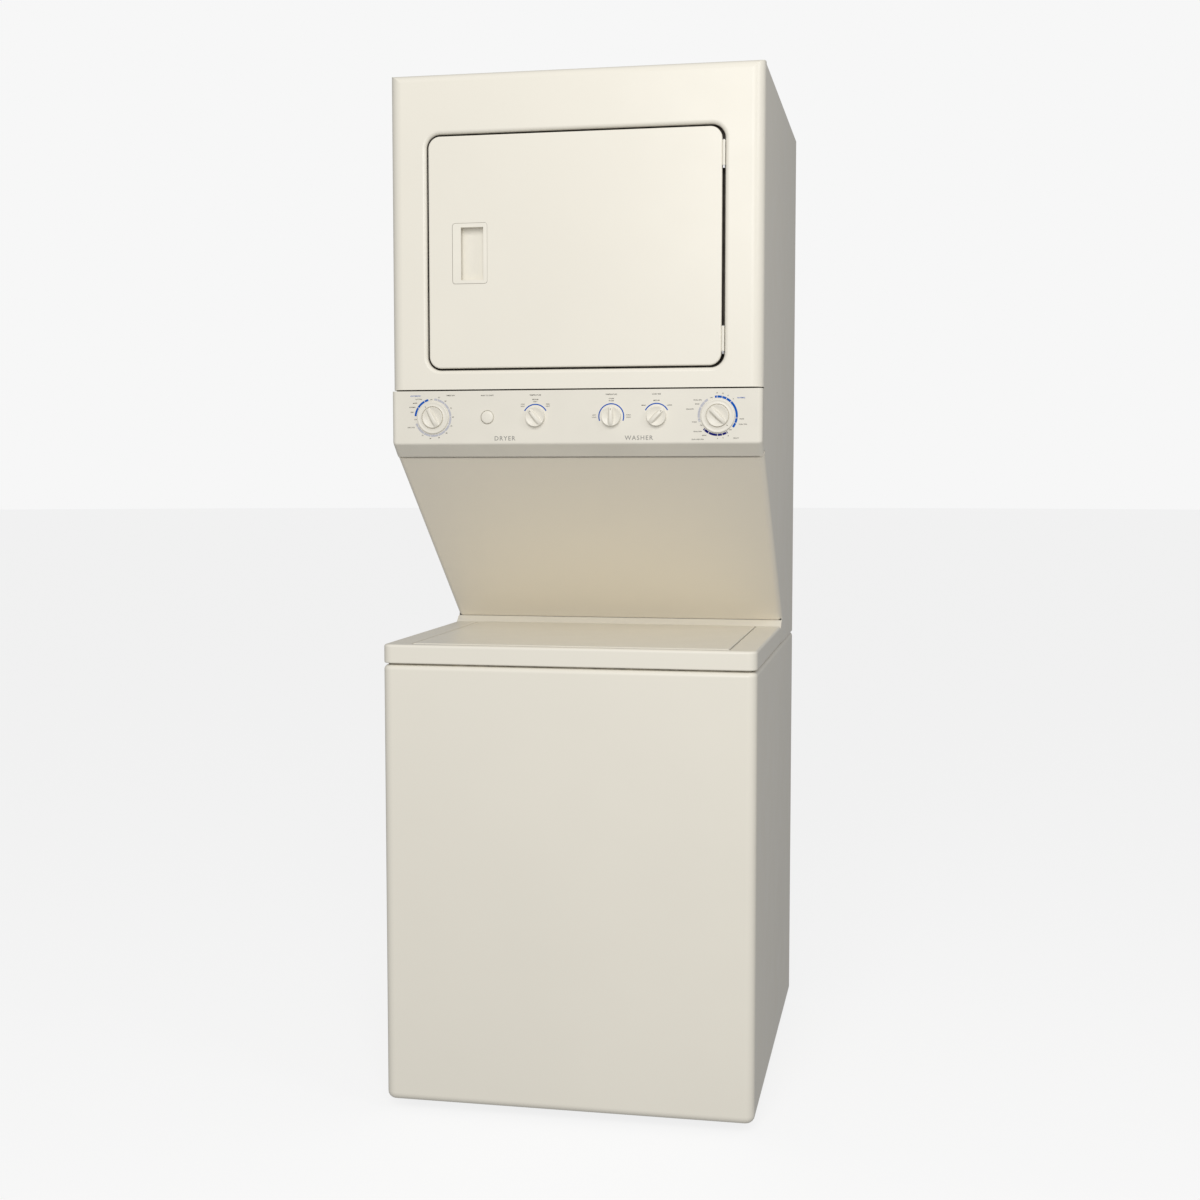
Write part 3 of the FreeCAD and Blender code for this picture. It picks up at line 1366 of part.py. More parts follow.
def washer_drive():
    case = rod("Gearcase", "z", (0, tub_axis, 160), 78, 74)
    tube = rod("GearcaseTube", "z", (0, tub_axis, 230), 29, 54)
    shaft = rod("GearcaseShaft", "z", (0, tub_axis, 280), 11.5, 392)
    lower = rod("GearcaseStub", "z", (0, tub_axis, d.drive_z - 14), 9, 50)
    node("gearcase", join("GearcaseSolid", [case, tube, shaft, lower]))

    hub = rod("DriveHub", "z", (0, tub_axis, d.drive_z - 12), 20, 26)
    disc = rod("DriveDisc", "z", (0, tub_axis, d.drive_z - 8), d.drive_r + 5, 16)
    groove = cut(
        "DriveGroove",
        rod("DriveGrooveOuter", "z", (0, tub_axis, d.drive_z - 5), d.drive_r + 20, 10),
        rod("DriveGrooveInner", "z", (0, tub_axis, d.drive_z - 10), d.drive_r - 0.3, 20),
    )
    bore = rod("DriveBore", "z", (0, tub_axis, 60), 9.05, 120)
    node("drive_pulley", cut("DrivePulley", join("DriveSolid", [hub, disc]), groove, bore))

    motor_y = d.front + d.washer_motor_y
    case = rod("WasherMotorCase", "z", (0, motor_y, 150), d.washer_motor_r, 130)
    bracket = box("WasherMotorBracket", (-50, 50), (tub_axis + 218, motor_y), (204, 208))
    bore = rod("WasherMotorBore", "z", (0, motor_y, 100), 7.05, 220)
    room = rod("WasherMotorRoom", "z", (0, motor_y, 158), d.washer_motor_r - 8, 114)
    vent = box("WasherMotorVent", (-16, 16), (motor_y, motor_y + d.washer_motor_r + 5), (190, 240))
    solid = join("WasherMotorSolid", [case, bracket])
    node("washer_motor", cut("WasherMotor", solid, room, vent, bore))
    pulley = rod("WasherMotorPulley", "z", (0, motor_y, d.drive_z - 8), d.motor_pulley_r - 0.3, 16)
    lower_rim = rod("WasherPulleyRim", "z", (0, motor_y, d.drive_z - 11), d.motor_pulley_r + 5, 3)
    upper_rim = rod("WasherPulleyTop", "z", (0, motor_y, d.drive_z + 8), d.motor_pulley_r + 5, 3)
    spindle = rod("WasherMotorSpindle", "z", (0, motor_y, d.drive_z - 14), 7, 150)
    core = rod("WasherRotorCore", "z", (0, motor_y, 180), 36, 70)
    node("washer_motor_pulley", join("WasherMotorPulleySolid", [pulley, lower_rim, upper_rim, spindle, core]))

    belt = tangent_belt(
        "WasherBelt", "z",
        (0, number_of(tub_axis)), number_of(d.drive_r),
        (0, number_of(motor_y)), number_of(d.motor_pulley_r),
        4.0, number_of(d.drive_z) - 4.5, 9.0,
    )
    node("washer_belt", belt)


def tub_suspension():
    pieces = []
    for side in (-1, 1):
        for end in (-1, 1):
            tag = ("L" if side < 0 else "R") + ("F" if end < 0 else "B")
            x = 255 * side
            y = tub_axis + 235 * end
            pieces.append(rod(f"HangRod{tag}", "z", (x, y, 214.6), 5, 586))
            outer = rod(f"SpringOuter{tag}", "z", (x, y, 222), 20, 120)
            inner = rod(f"SpringInner{tag}", "z", (x, y, 215), 14, 140)
            pieces.append(cut(f"HangSpring{tag}", outer, inner))
            reach = (half - d.skin) * side
            across = (x - 15, reach) if side > 0 else (reach, x + 15)
            pieces.append(box(f"HangBracket{tag}", across, (y - 22, y + 22), (800.6, 803)))
    node("tub_suspension", group("TubSuspension", pieces))

    arms = [rod("TubRing", "z", (0, tub_axis, 208), 94, 26)]
    for name, across, along in (
        ("Beam", 275, (-30, 30)),
        ("Spine", 30, (-255, 255)),
        ("ArmFront", 275, (-255, -215)),
        ("ArmRear", 275, (215, 255)),
    ):
        length = (tub_axis + along[0], tub_axis + along[1])
        arms.append(box("Tub" + name, (-across, across), length, (210.6, 214.6)))
    opening = rod("TubSupportBore", "z", (0, tub_axis, 150), 79, 140)
    node("tub_support", cut("TubSupport", join("TubSupportSolid", arms), opening))


def water_parts():
    tall = (d.inlet_z - 22, d.inlet_z + 22)
    block = box("ValveBlock", (d.cold_x - 22, d.hot_x + 22), (d.rear - 60, back - 2), tall)
    ports = []
    bores = []
    for name, x in (("Hot", d.hot_x), ("Cold", d.cold_x)):
        ports.append(rod(f"Inlet{name}", "y", (x, d.rear - 20, d.inlet_z), d.inlet_r, 32))
        bores.append(rod(f"InletBore{name}", "y", (x, d.rear - 30, d.inlet_z), 8, 60))
    node("inlet_valve", cut("InletValve", join("InletValveSolid", [block, *ports]), *bores))

    pump_y = d.front + 640
    pump = rod("PumpBody", "z", (200, pump_y, 62), 56, 70)
    outlet = rod("PumpOutlet", "y", (d.drain_x, pump_y, 95), 12, d.rear - 60 - pump_y)
    riser = rod("PumpRiser", "z", (d.drain_x, d.rear - 60, 80), 15, d.drain_z - 62)
    pipe = rod("DrainPipe", "y", (d.drain_x, d.rear - 60, d.drain_z), d.drain_r + 1, 52)
    spout = rod("DrainSpout", "y", (d.drain_x, d.rear - 10, d.drain_z), d.drain_r, 22)
    node("drain_pump", join("DrainPump", [pump, outlet, riser, pipe, spout]))


# ---------------------------------------------------------------- build, check and write
def write_nodes():
    doc.recompute()
    for thing in doc.Objects:
        if "Invalid" in thing.State or "Error" in thing.State:
            raise RuntimeError(f"{thing.Name} ({thing.Label}) failed: {thing.State}")
    os.makedirs("parts", exist_ok=True)
    for label, thing in nodes.items():
        shape = thing.Shape
        if shape.isNull() or not shape.isValid() or not shape.Solids:
            raise RuntimeError(f"{label} has no valid solid")
        shape.exportStep(os.path.join("parts", label + ".step"))
    print(len(nodes), "nodes written")


def main():
    washer_cabinet()
    washer_rear_panel()
    base_frame()
    levelling_feet()
    seam_gasket()
    washer_top_cover()
    washer_lid()
    slanted_panel()
    side_panels()
    dryer_top_panel()
    dryer_rear_panel()
    dryer_front_panel()
    dryer_door()
    door_pull()
    door_hinges()
    door_catch()
    console_panel()
    controls()
    control_switches()
    panel_screws()
    drum()
    bulkheads()
    lint_filter()
    dryer_drive()
    air_path()
    washer_tub()
    agitator()
    washer_drive()
    tub_suspension()
    water_parts()
    write_nodes()


main()
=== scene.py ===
"""Looks of a stacked washer and dryer in bisque enamel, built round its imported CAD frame.

Lengths are in metres, in the frame's own axes: +Z up, the front towards -Y, the origin on the floor.
Angles round a dial are in degrees, counter-clockwise from the right, as seen from the front.
"""
import json
import math

import bmesh
import bpy
from mathutils import Matrix, Vector


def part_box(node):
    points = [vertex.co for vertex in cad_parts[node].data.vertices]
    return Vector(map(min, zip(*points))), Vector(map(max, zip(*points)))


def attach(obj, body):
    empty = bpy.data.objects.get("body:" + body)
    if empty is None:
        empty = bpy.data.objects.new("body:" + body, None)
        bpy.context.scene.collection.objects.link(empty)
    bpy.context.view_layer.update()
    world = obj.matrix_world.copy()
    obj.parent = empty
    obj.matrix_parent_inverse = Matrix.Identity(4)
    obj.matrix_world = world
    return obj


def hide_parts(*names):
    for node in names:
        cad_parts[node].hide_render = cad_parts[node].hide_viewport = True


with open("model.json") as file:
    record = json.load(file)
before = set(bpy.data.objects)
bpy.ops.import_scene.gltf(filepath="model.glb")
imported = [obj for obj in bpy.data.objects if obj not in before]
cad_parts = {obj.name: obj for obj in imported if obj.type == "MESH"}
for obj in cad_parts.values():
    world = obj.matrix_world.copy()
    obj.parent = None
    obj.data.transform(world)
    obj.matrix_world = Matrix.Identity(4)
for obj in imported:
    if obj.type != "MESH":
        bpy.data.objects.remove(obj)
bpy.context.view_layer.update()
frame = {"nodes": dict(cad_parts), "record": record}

MM = 0.001

PANEL_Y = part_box("console_panel")[0].y  # front plane of the control panel and the dryer
CONTROLS = {  # the middle of each knob and of the button
    name: sum(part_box(name), Vector()) / 2
    for name in (
        "dryer_timer_knob",
        "start_button",
        "dryer_temperature_knob",
        "washer_temperature_knob",
        "load_size_knob",
        "washer_timer_knob",
    )
}


# ---------------------------------------------------------------- materials
MIX_FACTOR, MIX_FIRST, MIX_SECOND, MIX_COLOUR_OUT = 0, 6, 7, 2  # the colour sockets of a Mix node


class Graph:
    """A material's node tree, with its shader and the piece's own coordinates at hand."""

    def __init__(self, name, colour, roughness, **constants):
        self.material = bpy.data.materials.new(name)
        self.material.use_nodes = True
        self.tree = self.material.node_tree
        self.shader = self.tree.nodes["Principled BSDF"]
        self.coordinates = self.tree.nodes.new("ShaderNodeTexCoord").outputs["Object"]
        self.material.diffuse_color = (*colour, 1)
        self.set(self.shader, {"Base Color": (*colour, 1), "Roughness": roughness, **constants})

    def set(self, node, values):
        """Links or sets sockets, each given by its name or its index."""
        for socket, value in values.items():
            if isinstance(value, bpy.types.NodeSocket):
                self.tree.links.new(value, node.inputs[socket])
            else:
                node.inputs[socket].default_value = value

    def node(self, kind, inputs, **settings):
        made = self.tree.nodes.new("ShaderNode" + kind)
        for setting, value in settings.items():
            setattr(made, setting, value)
        self.set(made, inputs)
        return made

    def noise(self, scale, detail=2.0, stretch=(1, 1, 1)):
        """A noise with about scale features a metre, from 0 to 1."""
        place = self.node("Mapping", {"Vector": self.coordinates, "Scale": stretch})
        inputs = {"Vector": place.outputs["Vector"], "Scale": scale, "Detail": detail}
        return self.node("TexNoise", inputs).outputs["Fac"]

    def cells(self, scale):
        """Random colours in cells, about scale of them a metre."""
        inputs = {"Vector": self.coordinates, "Scale": scale}
        return self.node("TexVoronoi", inputs).outputs["Color"]

    def spread(self, value, low, high, start=0.3, stop=0.7):
        """Carries value from between start and stop to between low and high."""
        inputs = {"Value": value, "From Min": start, "From Max": stop, "To Min": low, "To Max": high}
        return self.node("MapRange", inputs).outputs["Result"]

    def vary_colour(self, value, first, second, start=0.35, stop=0.65):
        """Fades the colour from first to second as value goes from start to stop."""
        factor = self.spread(value, 0, 1, start, stop)
        mixed = self.node("Mix", {}, data_type="RGBA")
        self.set(mixed, {MIX_FACTOR: factor, MIX_FIRST: (*first, 1), MIX_SECOND: (*second, 1)})
        self.set(self.shader, {"Base Color": mixed.outputs[MIX_COLOUR_OUT]})

    def vary_roughness(self, value, low, high):
        self.set(self.shader, {"Roughness": self.spread(value, low, high)})

    def bump(self, *layers):
        """Bumps from (height, distance) pairs, one over the other."""
        normal = None
        for height, distance in layers:
            inputs = {"Height": height, "Distance": distance, "Strength": 1.0}
            if normal is not None:
                inputs["Normal"] = normal
            normal = self.node("Bump", inputs).outputs["Normal"]
        self.set(self.shader, {"Normal": normal})


def tinted(colour, factor):
    """The colour, lighter or darker."""
    return tuple(min(1.0, channel * factor) for channel in colour)


def enamel(name, colour, roughness=0.33, ripple=0.00045):
    """Gloss paint over pressed steel: orange peel, a slow ripple of the sheet and faint uneven colour."""
    gloss = {"Coat Weight": 0.2, "Coat Roughness": 0.2, "Specular IOR Level": 0.35}
    graph = Graph(name, colour, roughness, **gloss)
    graph.vary_colour(graph.noise(1.7, 3), tinted(colour, 0.985), tinted(colour, 1.012))
    graph.vary_roughness(graph.noise(14, 4), roughness - 0.04, roughness + 0.06)
    graph.bump((graph.noise(11, 2), ripple), (graph.noise(620, 2), 0.000018))
    return graph.material


def plastic(name, colour, roughness, grain=0.00002, grain_scale=900):
    """Moulded plastic with the fine grain of its mould."""
    graph = Graph(name, colour, roughness)
    graph.vary_colour(graph.noise(9, 3), tinted(colour, 0.975), tinted(colour, 1.015))
    graph.vary_roughness(graph.noise(60, 3), roughness - 0.05, roughness + 0.07)
    graph.bump((graph.noise(grain_scale, 3), grain))
    return graph.material


def rubber(name, colour):
    """Matt rubber or foam, blotched and slightly pitted."""
    graph = Graph(name, colour, 0.75)
    graph.vary_colour(graph.noise(40, 4), tinted(colour, 0.7), tinted(colour, 1.5))
    graph.vary_roughness(graph.noise(90, 4), 0.62, 0.85)
    graph.bump((graph.noise(1400, 3), 0.00003))
    return graph.material


def zinc_sheet(name, colour):
    """Galvanised sheet with its spangle and rolling streaks."""
    graph = Graph(name, colour, 0.42, Metallic=1.0)
    spangle = graph.cells(95)
    grey = graph.node("RGBToBW", {"Color": spangle}).outputs["Val"]
    graph.vary_colour(grey, tinted(colour, 0.86), tinted(colour, 1.12), 0.15, 0.85)
    graph.set(graph.shader, {"Roughness": graph.spread(grey, 0.34, 0.5, 0.1, 0.9)})
    graph.bump((graph.noise(35, 2, (1, 1, 8)), 0.00006))
    return graph.material


def steel(name, colour, roughness):
    """Turned or plated steel with fine machining marks."""
    graph = Graph(name, colour, roughness, Metallic=1.0)
    streaks = graph.noise(260, 3, (1, 1, 6))
    graph.vary_colour(streaks, tinted(colour, 0.9), tinted(colour, 1.08))
    graph.vary_roughness(streaks, roughness - 0.06, roughness + 0.1)
    graph.bump((streaks, 0.00001))
    return graph.material


def felt(name, colour):
    """Pressed wool: a soft sheen over tufts."""
    graph = Graph(name, colour, 0.95, **{"Sheen Weight": 0.4})
    graph.vary_colour(graph.noise(700, 4), tinted(colour, 0.8), tinted(colour, 1.15))
    graph.bump((graph.noise(1500, 4), 0.00025), (graph.noise(120, 3), 0.0004))
    return graph.material


def screen_cloth(name, dark, light):
    """Fine woven screen: two sets of threads over a dark ground."""
    threads_a_metre = 260.0
    graph = Graph(name, light, 0.6)
    sets = []
    for direction in ("X", "Z"):
        inputs = {"Vector": graph.coordinates, "Scale": threads_a_metre, "Distortion": 0.0}
        sets.append(graph.node("TexWave", inputs, bands_direction=direction).outputs["Fac"])
    threads = graph.node("Math", {0: sets[0], 1: sets[1]}, operation="MAXIMUM").outputs["Value"]
    graph.vary_colour(threads, dark, light, 0.45, 0.75)
    graph.vary_roughness(graph.noise(80, 3), 0.5, 0.75)
    graph.bump((threads, 0.0003))
    return graph.material


def ink(name, colour):
    """Screen-printed ink, a little rough where it is thin."""
    graph = Graph(name, colour, 0.6, **{"Specular IOR Level": 0.08})
    graph.vary_colour(graph.noise(420, 3), tinted(colour, 0.88), tinted(colour, 1.12))
    graph.vary_roughness(graph.noise(300, 3), 0.5, 0.7)
    return graph.material


BISQUE = (0.780, 0.742, 0.650)
MATERIALS = {
    "enamel": enamel("bisque_enamel", BISQUE),
    "galvanised": zinc_sheet("zinc_sheet", (0.62, 0.63, 0.64)),
    "foot_rubber": rubber("foot_rubber", (0.035, 0.035, 0.035)),
    "gasket": rubber("gasket_foam", (0.090, 0.078, 0.062)),
    "steel": steel("plated_steel", (0.66, 0.66, 0.67), 0.3),
    "felt": felt("door_felt", (0.58, 0.54, 0.46)),
    "trim_plastic": plastic("bisque_trim", BISQUE, 0.38),
    "dark_plastic": plastic("dark_plastic", (0.045, 0.045, 0.05), 0.5),
    "console_plastic": plastic("bisque_console", tinted(BISQUE, 0.94), 0.4),
    "knob_plastic": plastic("bisque_knob", tinted(BISQUE, 0.96), 0.3, 0.000008),
    "drum_enamel": enamel("drum_powder_coat", (0.72, 0.72, 0.70), 0.4, 0.0001),
    "baffle_plastic": plastic("baffle_plastic", (0.66, 0.66, 0.64), 0.42),
    "heater": steel("heater_sheath", (0.30, 0.26, 0.24), 0.5),
    "motor_steel": enamel("motor_paint", (0.10, 0.105, 0.11), 0.45, 0.0001),
    "belt_rubber": rubber("belt_rubber", (0.02, 0.02, 0.02)),
    "tub_plastic": plastic("tub_plastic", (0.60, 0.60, 0.57), 0.5, 0.00005, 300),
    "basket_enamel": enamel("basket_porcelain", (0.80, 0.80, 0.78), 0.22, 0.0002),
    "agitator_plastic": plastic("agitator_plastic", (0.76, 0.76, 0.74), 0.36),
}
INKS = {
    "blue": ink("blue_ink", (0.003, 0.085, 0.400)),
    "navy": ink("navy_ink", (0.008, 0.010, 0.130)),
    "grey": ink("grey_ink", (0.470, 0.470, 0.505)),
    "dark": ink("dark_ink", (0.070, 0.064, 0.056)),
    "name": ink("name_ink", (0.300, 0.290, 0.265)),
}

OWN_OR_LIT = {  # nodes given a material of their own: the seam gasket's foam is a shade off the rest of its slot, and the slanted panel's enamel is lighter and warmer as painted bounce light from the lid
    # painted light: a lighter, warmer enamel paints the warm light bounced onto the slanted panel from the
    # lid
    "slanted_panel": enamel("bounce_lit_bisque_enamel", (0.870, 0.810, 0.690)),
    "seam_gasket": rubber("seam_foam", (0.300, 0.270, 0.215)),
}
# painted shade: the dark seen down a perforation
HOLE_SHADE = rubber("hole_shadow", (0.012, 0.012, 0.013))
SCREEN = screen_cloth("lint_screen", (0.030, 0.032, 0.035), (0.330, 0.340, 0.350))
HOT = plastic("hot_tap_red", (0.520, 0.020, 0.016), 0.42)
COLD = plastic("cold_tap_blue", (0.014, 0.085, 0.420), 0.42)


def dress_frame():
    """Gives every CAD node the material of its slot."""
    slots = {entry["node"]: entry["material_slot"] for entry in frame["record"]["subparts"]}
    for name, node in frame["nodes"].items():
        for place in node.material_slots:
            place.material = OWN_OR_LIT.get(name, MATERIALS[slots[name]])


# ---------------------------------------------------------------- mesh helpers
SAME_POINT = 1e-6  # points closer than this are one
AXIS = 1e-7  # stands in for a radius of nothing, so that a turned profile can start on its axis


def piece(name, bm, body, slot, material=None, replaces=(), smooth=True):
    """Turns a bmesh in the frame's axes into a finished piece."""
    bmesh.ops.remove_doubles(bm, verts=bm.verts, dist=SAME_POINT)
    bmesh.ops.recalc_face_normals(bm, faces=bm.faces)
    mesh = bpy.data.meshes.new(name)
    bm.to_mesh(mesh)
    bm.free()
    if smooth:
        mesh.shade_smooth()
    made = bpy.data.objects.new(name, mesh)
    bpy.context.scene.collection.objects.link(made)
    made.data.materials.append(material or MATERIALS[slot])
    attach(made, body)
    if replaces:
        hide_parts(*replaces)
    return made


def sharpen(made, degrees):
    """Keeps edges over this angle crisp in a smooth-shaded piece."""
    made.data.set_sharp_from_angle(angle=math.radians(degrees))


def soften(made, width):
    """Rounds a piece's own edges."""
    bevel = made.modifiers.new("rounding", "BEVEL")
    bevel.width = width
    bevel.segments = 2
    bevel.angle_limit = math.radians(35)
    bevel.harden_normals = False


def skin(bm, loops, closed=True, cap_first=False, cap_last=False):
    """Bridges a row of point loops with quads, and gives back their vertices."""
    rings = [[bm.verts.new(point) for point in loop] for loop in loops]
    count = len(rings[0])
    last = count if closed else count - 1
    for near, far in zip(rings, rings[1:]):
        for i in range(last):
            j = (i + 1) % count
            bm.faces.new((near[i], near[j], far[j], far[i]))
    if cap_first:
        bm.faces.new(rings[0])
    if cap_last:
        bm.faces.new(rings[-1])
    return rings


def circle(centre, radius, segments):
    """Points round a line from front to back."""
    points = []
    for i in range(segments):
        angle = 2 * math.pi * i / segments
        points.append(centre + Vector((radius * math.cos(angle), 0, radius * math.sin(angle))))
    return points


def lathe(bm, centre, profile, segments, closed=False):
    """Turns (depth, radius) pairs about a line from front to back through centre."""
    back = Vector((0, 1, 0))
    loops = [circle(centre + back * depth, max(radius, AXIS), segments) for depth, radius in profile]
    if closed:
        loops.append(loops[0])
    skin(bm, loops)


def block(bm, low, high):
    """A box between two corners."""
    corners = [(x, y, z) for x in (low[0], high[0]) for y in (low[1], high[1]) for z in (low[2], high[2])]
    verts = [bm.verts.new(corner) for corner in corners]
    for face in ((0, 1, 3, 2), (4, 6, 7, 5), (0, 4, 5, 1), (2, 3, 7, 6), (0, 2, 6, 4), (1, 5, 7, 3)):
        bm.faces.new([verts[i] for i in face])


def on_panel(centre, radius, degrees, y):
    """A point on the control panel, round a knob."""
    angle = math.radians(degrees)
    return Vector((centre.x + radius * math.cos(angle), y, centre.z + radius * math.sin(angle)))


# ---------------------------------------------------------------- knobs
FACE_SHARE = 0.952  # a selector's face, as a part of its radius, so that its rolled rim ends at the radius


def ramp(low, high, value):
    """Rises smoothly from 0 to 1 as value goes from low to high."""
    t = min(1.0, max(0.0, (value - low) / (high - low)))
    return t * t * (3 - 2 * t)


def knob_cap(bm, centre, radius, base, deep, degrees):
    """A round cap whose face is scooped either side of a finger ridge that points at degrees.

    base is how far the cap's back stands in front of the panel and deep is how thick its rim is.
    """
    turn = Matrix.Rotation(math.radians(90 - degrees), 3, "Y")
    rows, columns = 56, 40
    scoop, crest = 0.16 * radius, 0.22 * radius  # depth of the hollows and height of the ridge
    tip, tail, belly = 0.13, 0.05, 0.04  # half the ridge's width at its tip, and what its tail and middle add
    crown = 0.12  # how much the ridge's top falls off to its sides
    wall_start, wall_stop = 0.72, 1.75  # the ridge's flank, in half widths from its middle

    def height(u, v):
        """How far the face stands in front of the panel, across and along the ridge."""
        reach = min(1.0, math.hypot(u, v) / radius)
        half_width = radius * (tip + tail * (1 - v / radius) / 2 + belly * (1 - (v / radius) ** 2))
        wall = ramp(wall_start, wall_stop, abs(u) / half_width)
        hollow = -scoop * (1 - reach ** 2.4)
        ridge = crest * (1 - reach ** 3.2) * (1 - crown * (u / half_width) ** 2 * (1 - wall))
        return base + deep + ridge * (1 - wall) + hollow * wall

    def spot(u, v, h):
        """The point at u, v and h, with the ridge turned to where it points."""
        local = turn @ Vector((u, 0, v))
        return Vector((centre.x + local.x, PANEL_Y - h, centre.z + local.z))

    grid = []
    for i in range(rows + 1):
        v = -radius * math.cos(math.pi * i / rows)
        edge = math.sqrt(max(0.0, radius * radius - v * v))
        line = []
        for j in range(columns + 1):
            t = 2 * j / columns - 1
            u = edge * (0.55 * t + 0.45 * t ** 3)  # closer together at the ridge
            line.append(bm.verts.new(spot(u, v, height(u, v))))
        grid.append(line)
    for near, far in zip(grid, grid[1:]):
        for j in range(columns):
            bm.faces.new((near[j], near[j + 1], far[j + 1], far[j]))

    # The rolled rim, as how far it grows outward and drops back, in parts of the radius.
    rim = [(0.0, 0.0), (0.012, 0.004), (0.026, 0.022), (0.034, 0.05), (0.05, 0.5)]
    loops = []
    outline = [spot(math.sqrt(max(0.0, radius ** 2 - v * v)) * side, v, 0)
               for side, order in ((1, range(rows + 1)), (-1, range(rows - 1, 0, -1)))
               for v in (-radius * math.cos(math.pi * i / rows) for i in order)]
    middle = Vector((centre.x, 0, centre.z))
    for grow, drop in rim:
        loops.append([Vector((p.x, 0, p.z)) + (Vector((p.x, 0, p.z)) - middle) * grow
                      + Vector((0, PANEL_Y - (base + deep - drop * radius), 0)) for p in outline])
    loops.append([Vector((p.x, PANEL_Y - base, p.z)) for p in loops[-1]])
    skin(bm, loops, cap_last=True)


def tick(bm, centre, radius, degrees, length, width, front, thick):
    """A thin raised line that points away from a knob's centre and narrows a little."""
    angle = math.radians(degrees)
    along = Vector((math.cos(angle), 0, math.sin(angle)))
    across = Vector((-math.sin(angle), 0, math.cos(angle))) * width / 2
    start = Vector((centre.x, 0, centre.z)) + along * radius
    taper = 0.7
    ends = []
    for y in (front, front + thick):
        depth = Vector((0, y, 0))
        ends.append([
            start - across + depth, start + across + depth,
            start + along * length + across * taper + depth, start + along * length - across * taper + depth,
        ])
    skin(bm, ends, cap_first=True, cap_last=True)


def selector(name, body, degrees):
    """A small knob with a mark at the top of its ridge."""
    low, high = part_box(name)
    centre = CONTROLS[name]
    radius = (high.x - low.x) / 2
    bm = bmesh.new()
    knob_cap(bm, centre, radius * FACE_SHARE, base=0.4 * MM, deep=6.6 * MM, degrees=degrees)
    sharpen(piece(name + "_cap", bm, body, "knob_plastic", replaces=[name]), 50)
    bm = bmesh.new()
    length, front = 0.2 * radius, PANEL_Y - 9.7 * MM
    tick(bm, centre, 0.60 * radius, degrees, length, width=0.9 * MM, front=front, thick=1.8 * MM)
    piece(name + "_mark", bm, body, "dark_plastic", INKS["dark"], smooth=False)


def timer(name, body, radius, degrees, mark_degrees):
    """A timer's cap on its skirt, which carries a mark."""
    low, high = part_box(name)
    centre = CONTROLS[name]
    skirt = (high.x - low.x) / 2  # its radius
    bm = bmesh.new()
    knob_cap(bm, centre, radius, base=1.6 * MM, deep=3.4 * MM, degrees=degrees)
    sharpen(piece(name + "_cap", bm, body, "knob_plastic", replaces=[name]), 50)

    bm = bmesh.new()
    groove = radius * 1.05 + 1.2 * MM  # where the skirt starts, outside the cap's rolled rim
    profile = [  # (depth from the panel's face, radius), from the middle outward
        (-0.9 * MM, 0), (-0.9 * MM, groove), (-3.1 * MM, groove + 0.15 * MM), (-3.4 * MM, groove + 0.45 * MM),
        (-3.1 * MM, groove + 1.2 * MM), (-2.75 * MM, skirt - 3.2 * MM), (-2.9 * MM, skirt - 2.8 * MM),
        (-2.9 * MM, skirt - 1.0 * MM), (-2.6 * MM, skirt - 0.3 * MM), (-2.1 * MM, skirt),
        (-0.4 * MM, skirt), (-0.4 * MM, 0),
    ]
    lathe(bm, Vector((centre.x, PANEL_Y, centre.z)), profile, 96)
    sharpen(piece(name + "_skirt", bm, body, "knob_plastic"), 40)
    bm = bmesh.new()
    length, front = 3.0 * MM, PANEL_Y - 3.05 * MM
    tick(bm, centre, groove + 1.6 * MM, mark_degrees, length, width=1.1 * MM, front=front, thick=0.5 * MM)
    piece(name + "_mark", bm, body, "dark_plastic", INKS["dark"], smooth=False)


def start_button():
    """A domed push button in its collar."""
    name = "start_button"
    low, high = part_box(name)
    centre = CONTROLS[name]
    radius = (high.x - low.x) / 2
    bm = bmesh.new()
    shoulder, rise = 2.3, 1.15  # millimetres in front of the panel, and the dome's height over that
    crown = [(-(shoulder + rise * math.cos(t)) * MM, radius * 0.93 * math.sin(t)) for t in
             (math.pi / 2 * i / 10 for i in range(11))]
    collar, back = radius + 0.9 * MM, 8.8 * MM
    profile = [
        *crown, (-1.6 * MM, radius * 0.985), (-0.8 * MM, radius), (1.4 * MM, radius), (1.5 * MM, collar),
        (back, collar), (back, 0),
    ]
    lathe(bm, Vector((centre.x, PANEL_Y, centre.z)), profile, 64)
    sharpen(piece("start_button_dome", bm, "start", "knob_plastic", replaces=[name]), 60)


def controls():
    """Every knob as it stands at rest, with the way its ridge or mark points."""
    selector("dryer_temperature_knob", "dryer_temperature", degrees=130)
    selector("washer_temperature_knob", "washer_temperature", degrees=90)
    selector("load_size_knob", "load_size", degrees=45)
    timer("dryer_timer_knob", "dryer_timer", 18.3 * MM, degrees=118, mark_degrees=125)
    timer("washer_timer_knob", "washer_timer", 18.8 * MM, degrees=-45, mark_degrees=-45)
    start_button()


# ---------------------------------------------------------------- printed dials and legends
PRINT = 0.12 * MM  # how far print stands proud of the panel
SUNK = 0.05 * MM  # how far a band reaches into it
TINY, SMALL, PLAIN, HEADING, LARGE = 2.0 * MM, 2.1 * MM, 2.3 * MM, 2.4 * MM, 7.9 * MM  # letter heights
CAPITAL = 0.7  # a capital's height in the font, as a part of its size
WEIGHT = 0.015  # how much a stroke is thickened, as a part of the letter's height


def arc(bm, centre, inner, outer, start, stop):
    """A flat band of a ring, printed on the panel from start round to stop."""
    steps = max(2, int(abs(start - stop) / 3))
    sides = []
    for radius, y in ((inner, SUNK), (inner, -PRINT), (outer, -PRINT), (outer, SUNK)):
        angles = [start + (stop - start) * i / steps for i in range(steps + 1)]
        sides.append([on_panel(centre, radius, angle, PANEL_Y + y) for angle in angles])
    rings = skin(bm, [*sides, sides[0]], closed=False)
    bm.faces.new([ring[0] for ring in rings[:4]])
    bm.faces.new([ring[-1] for ring in rings[:4]])


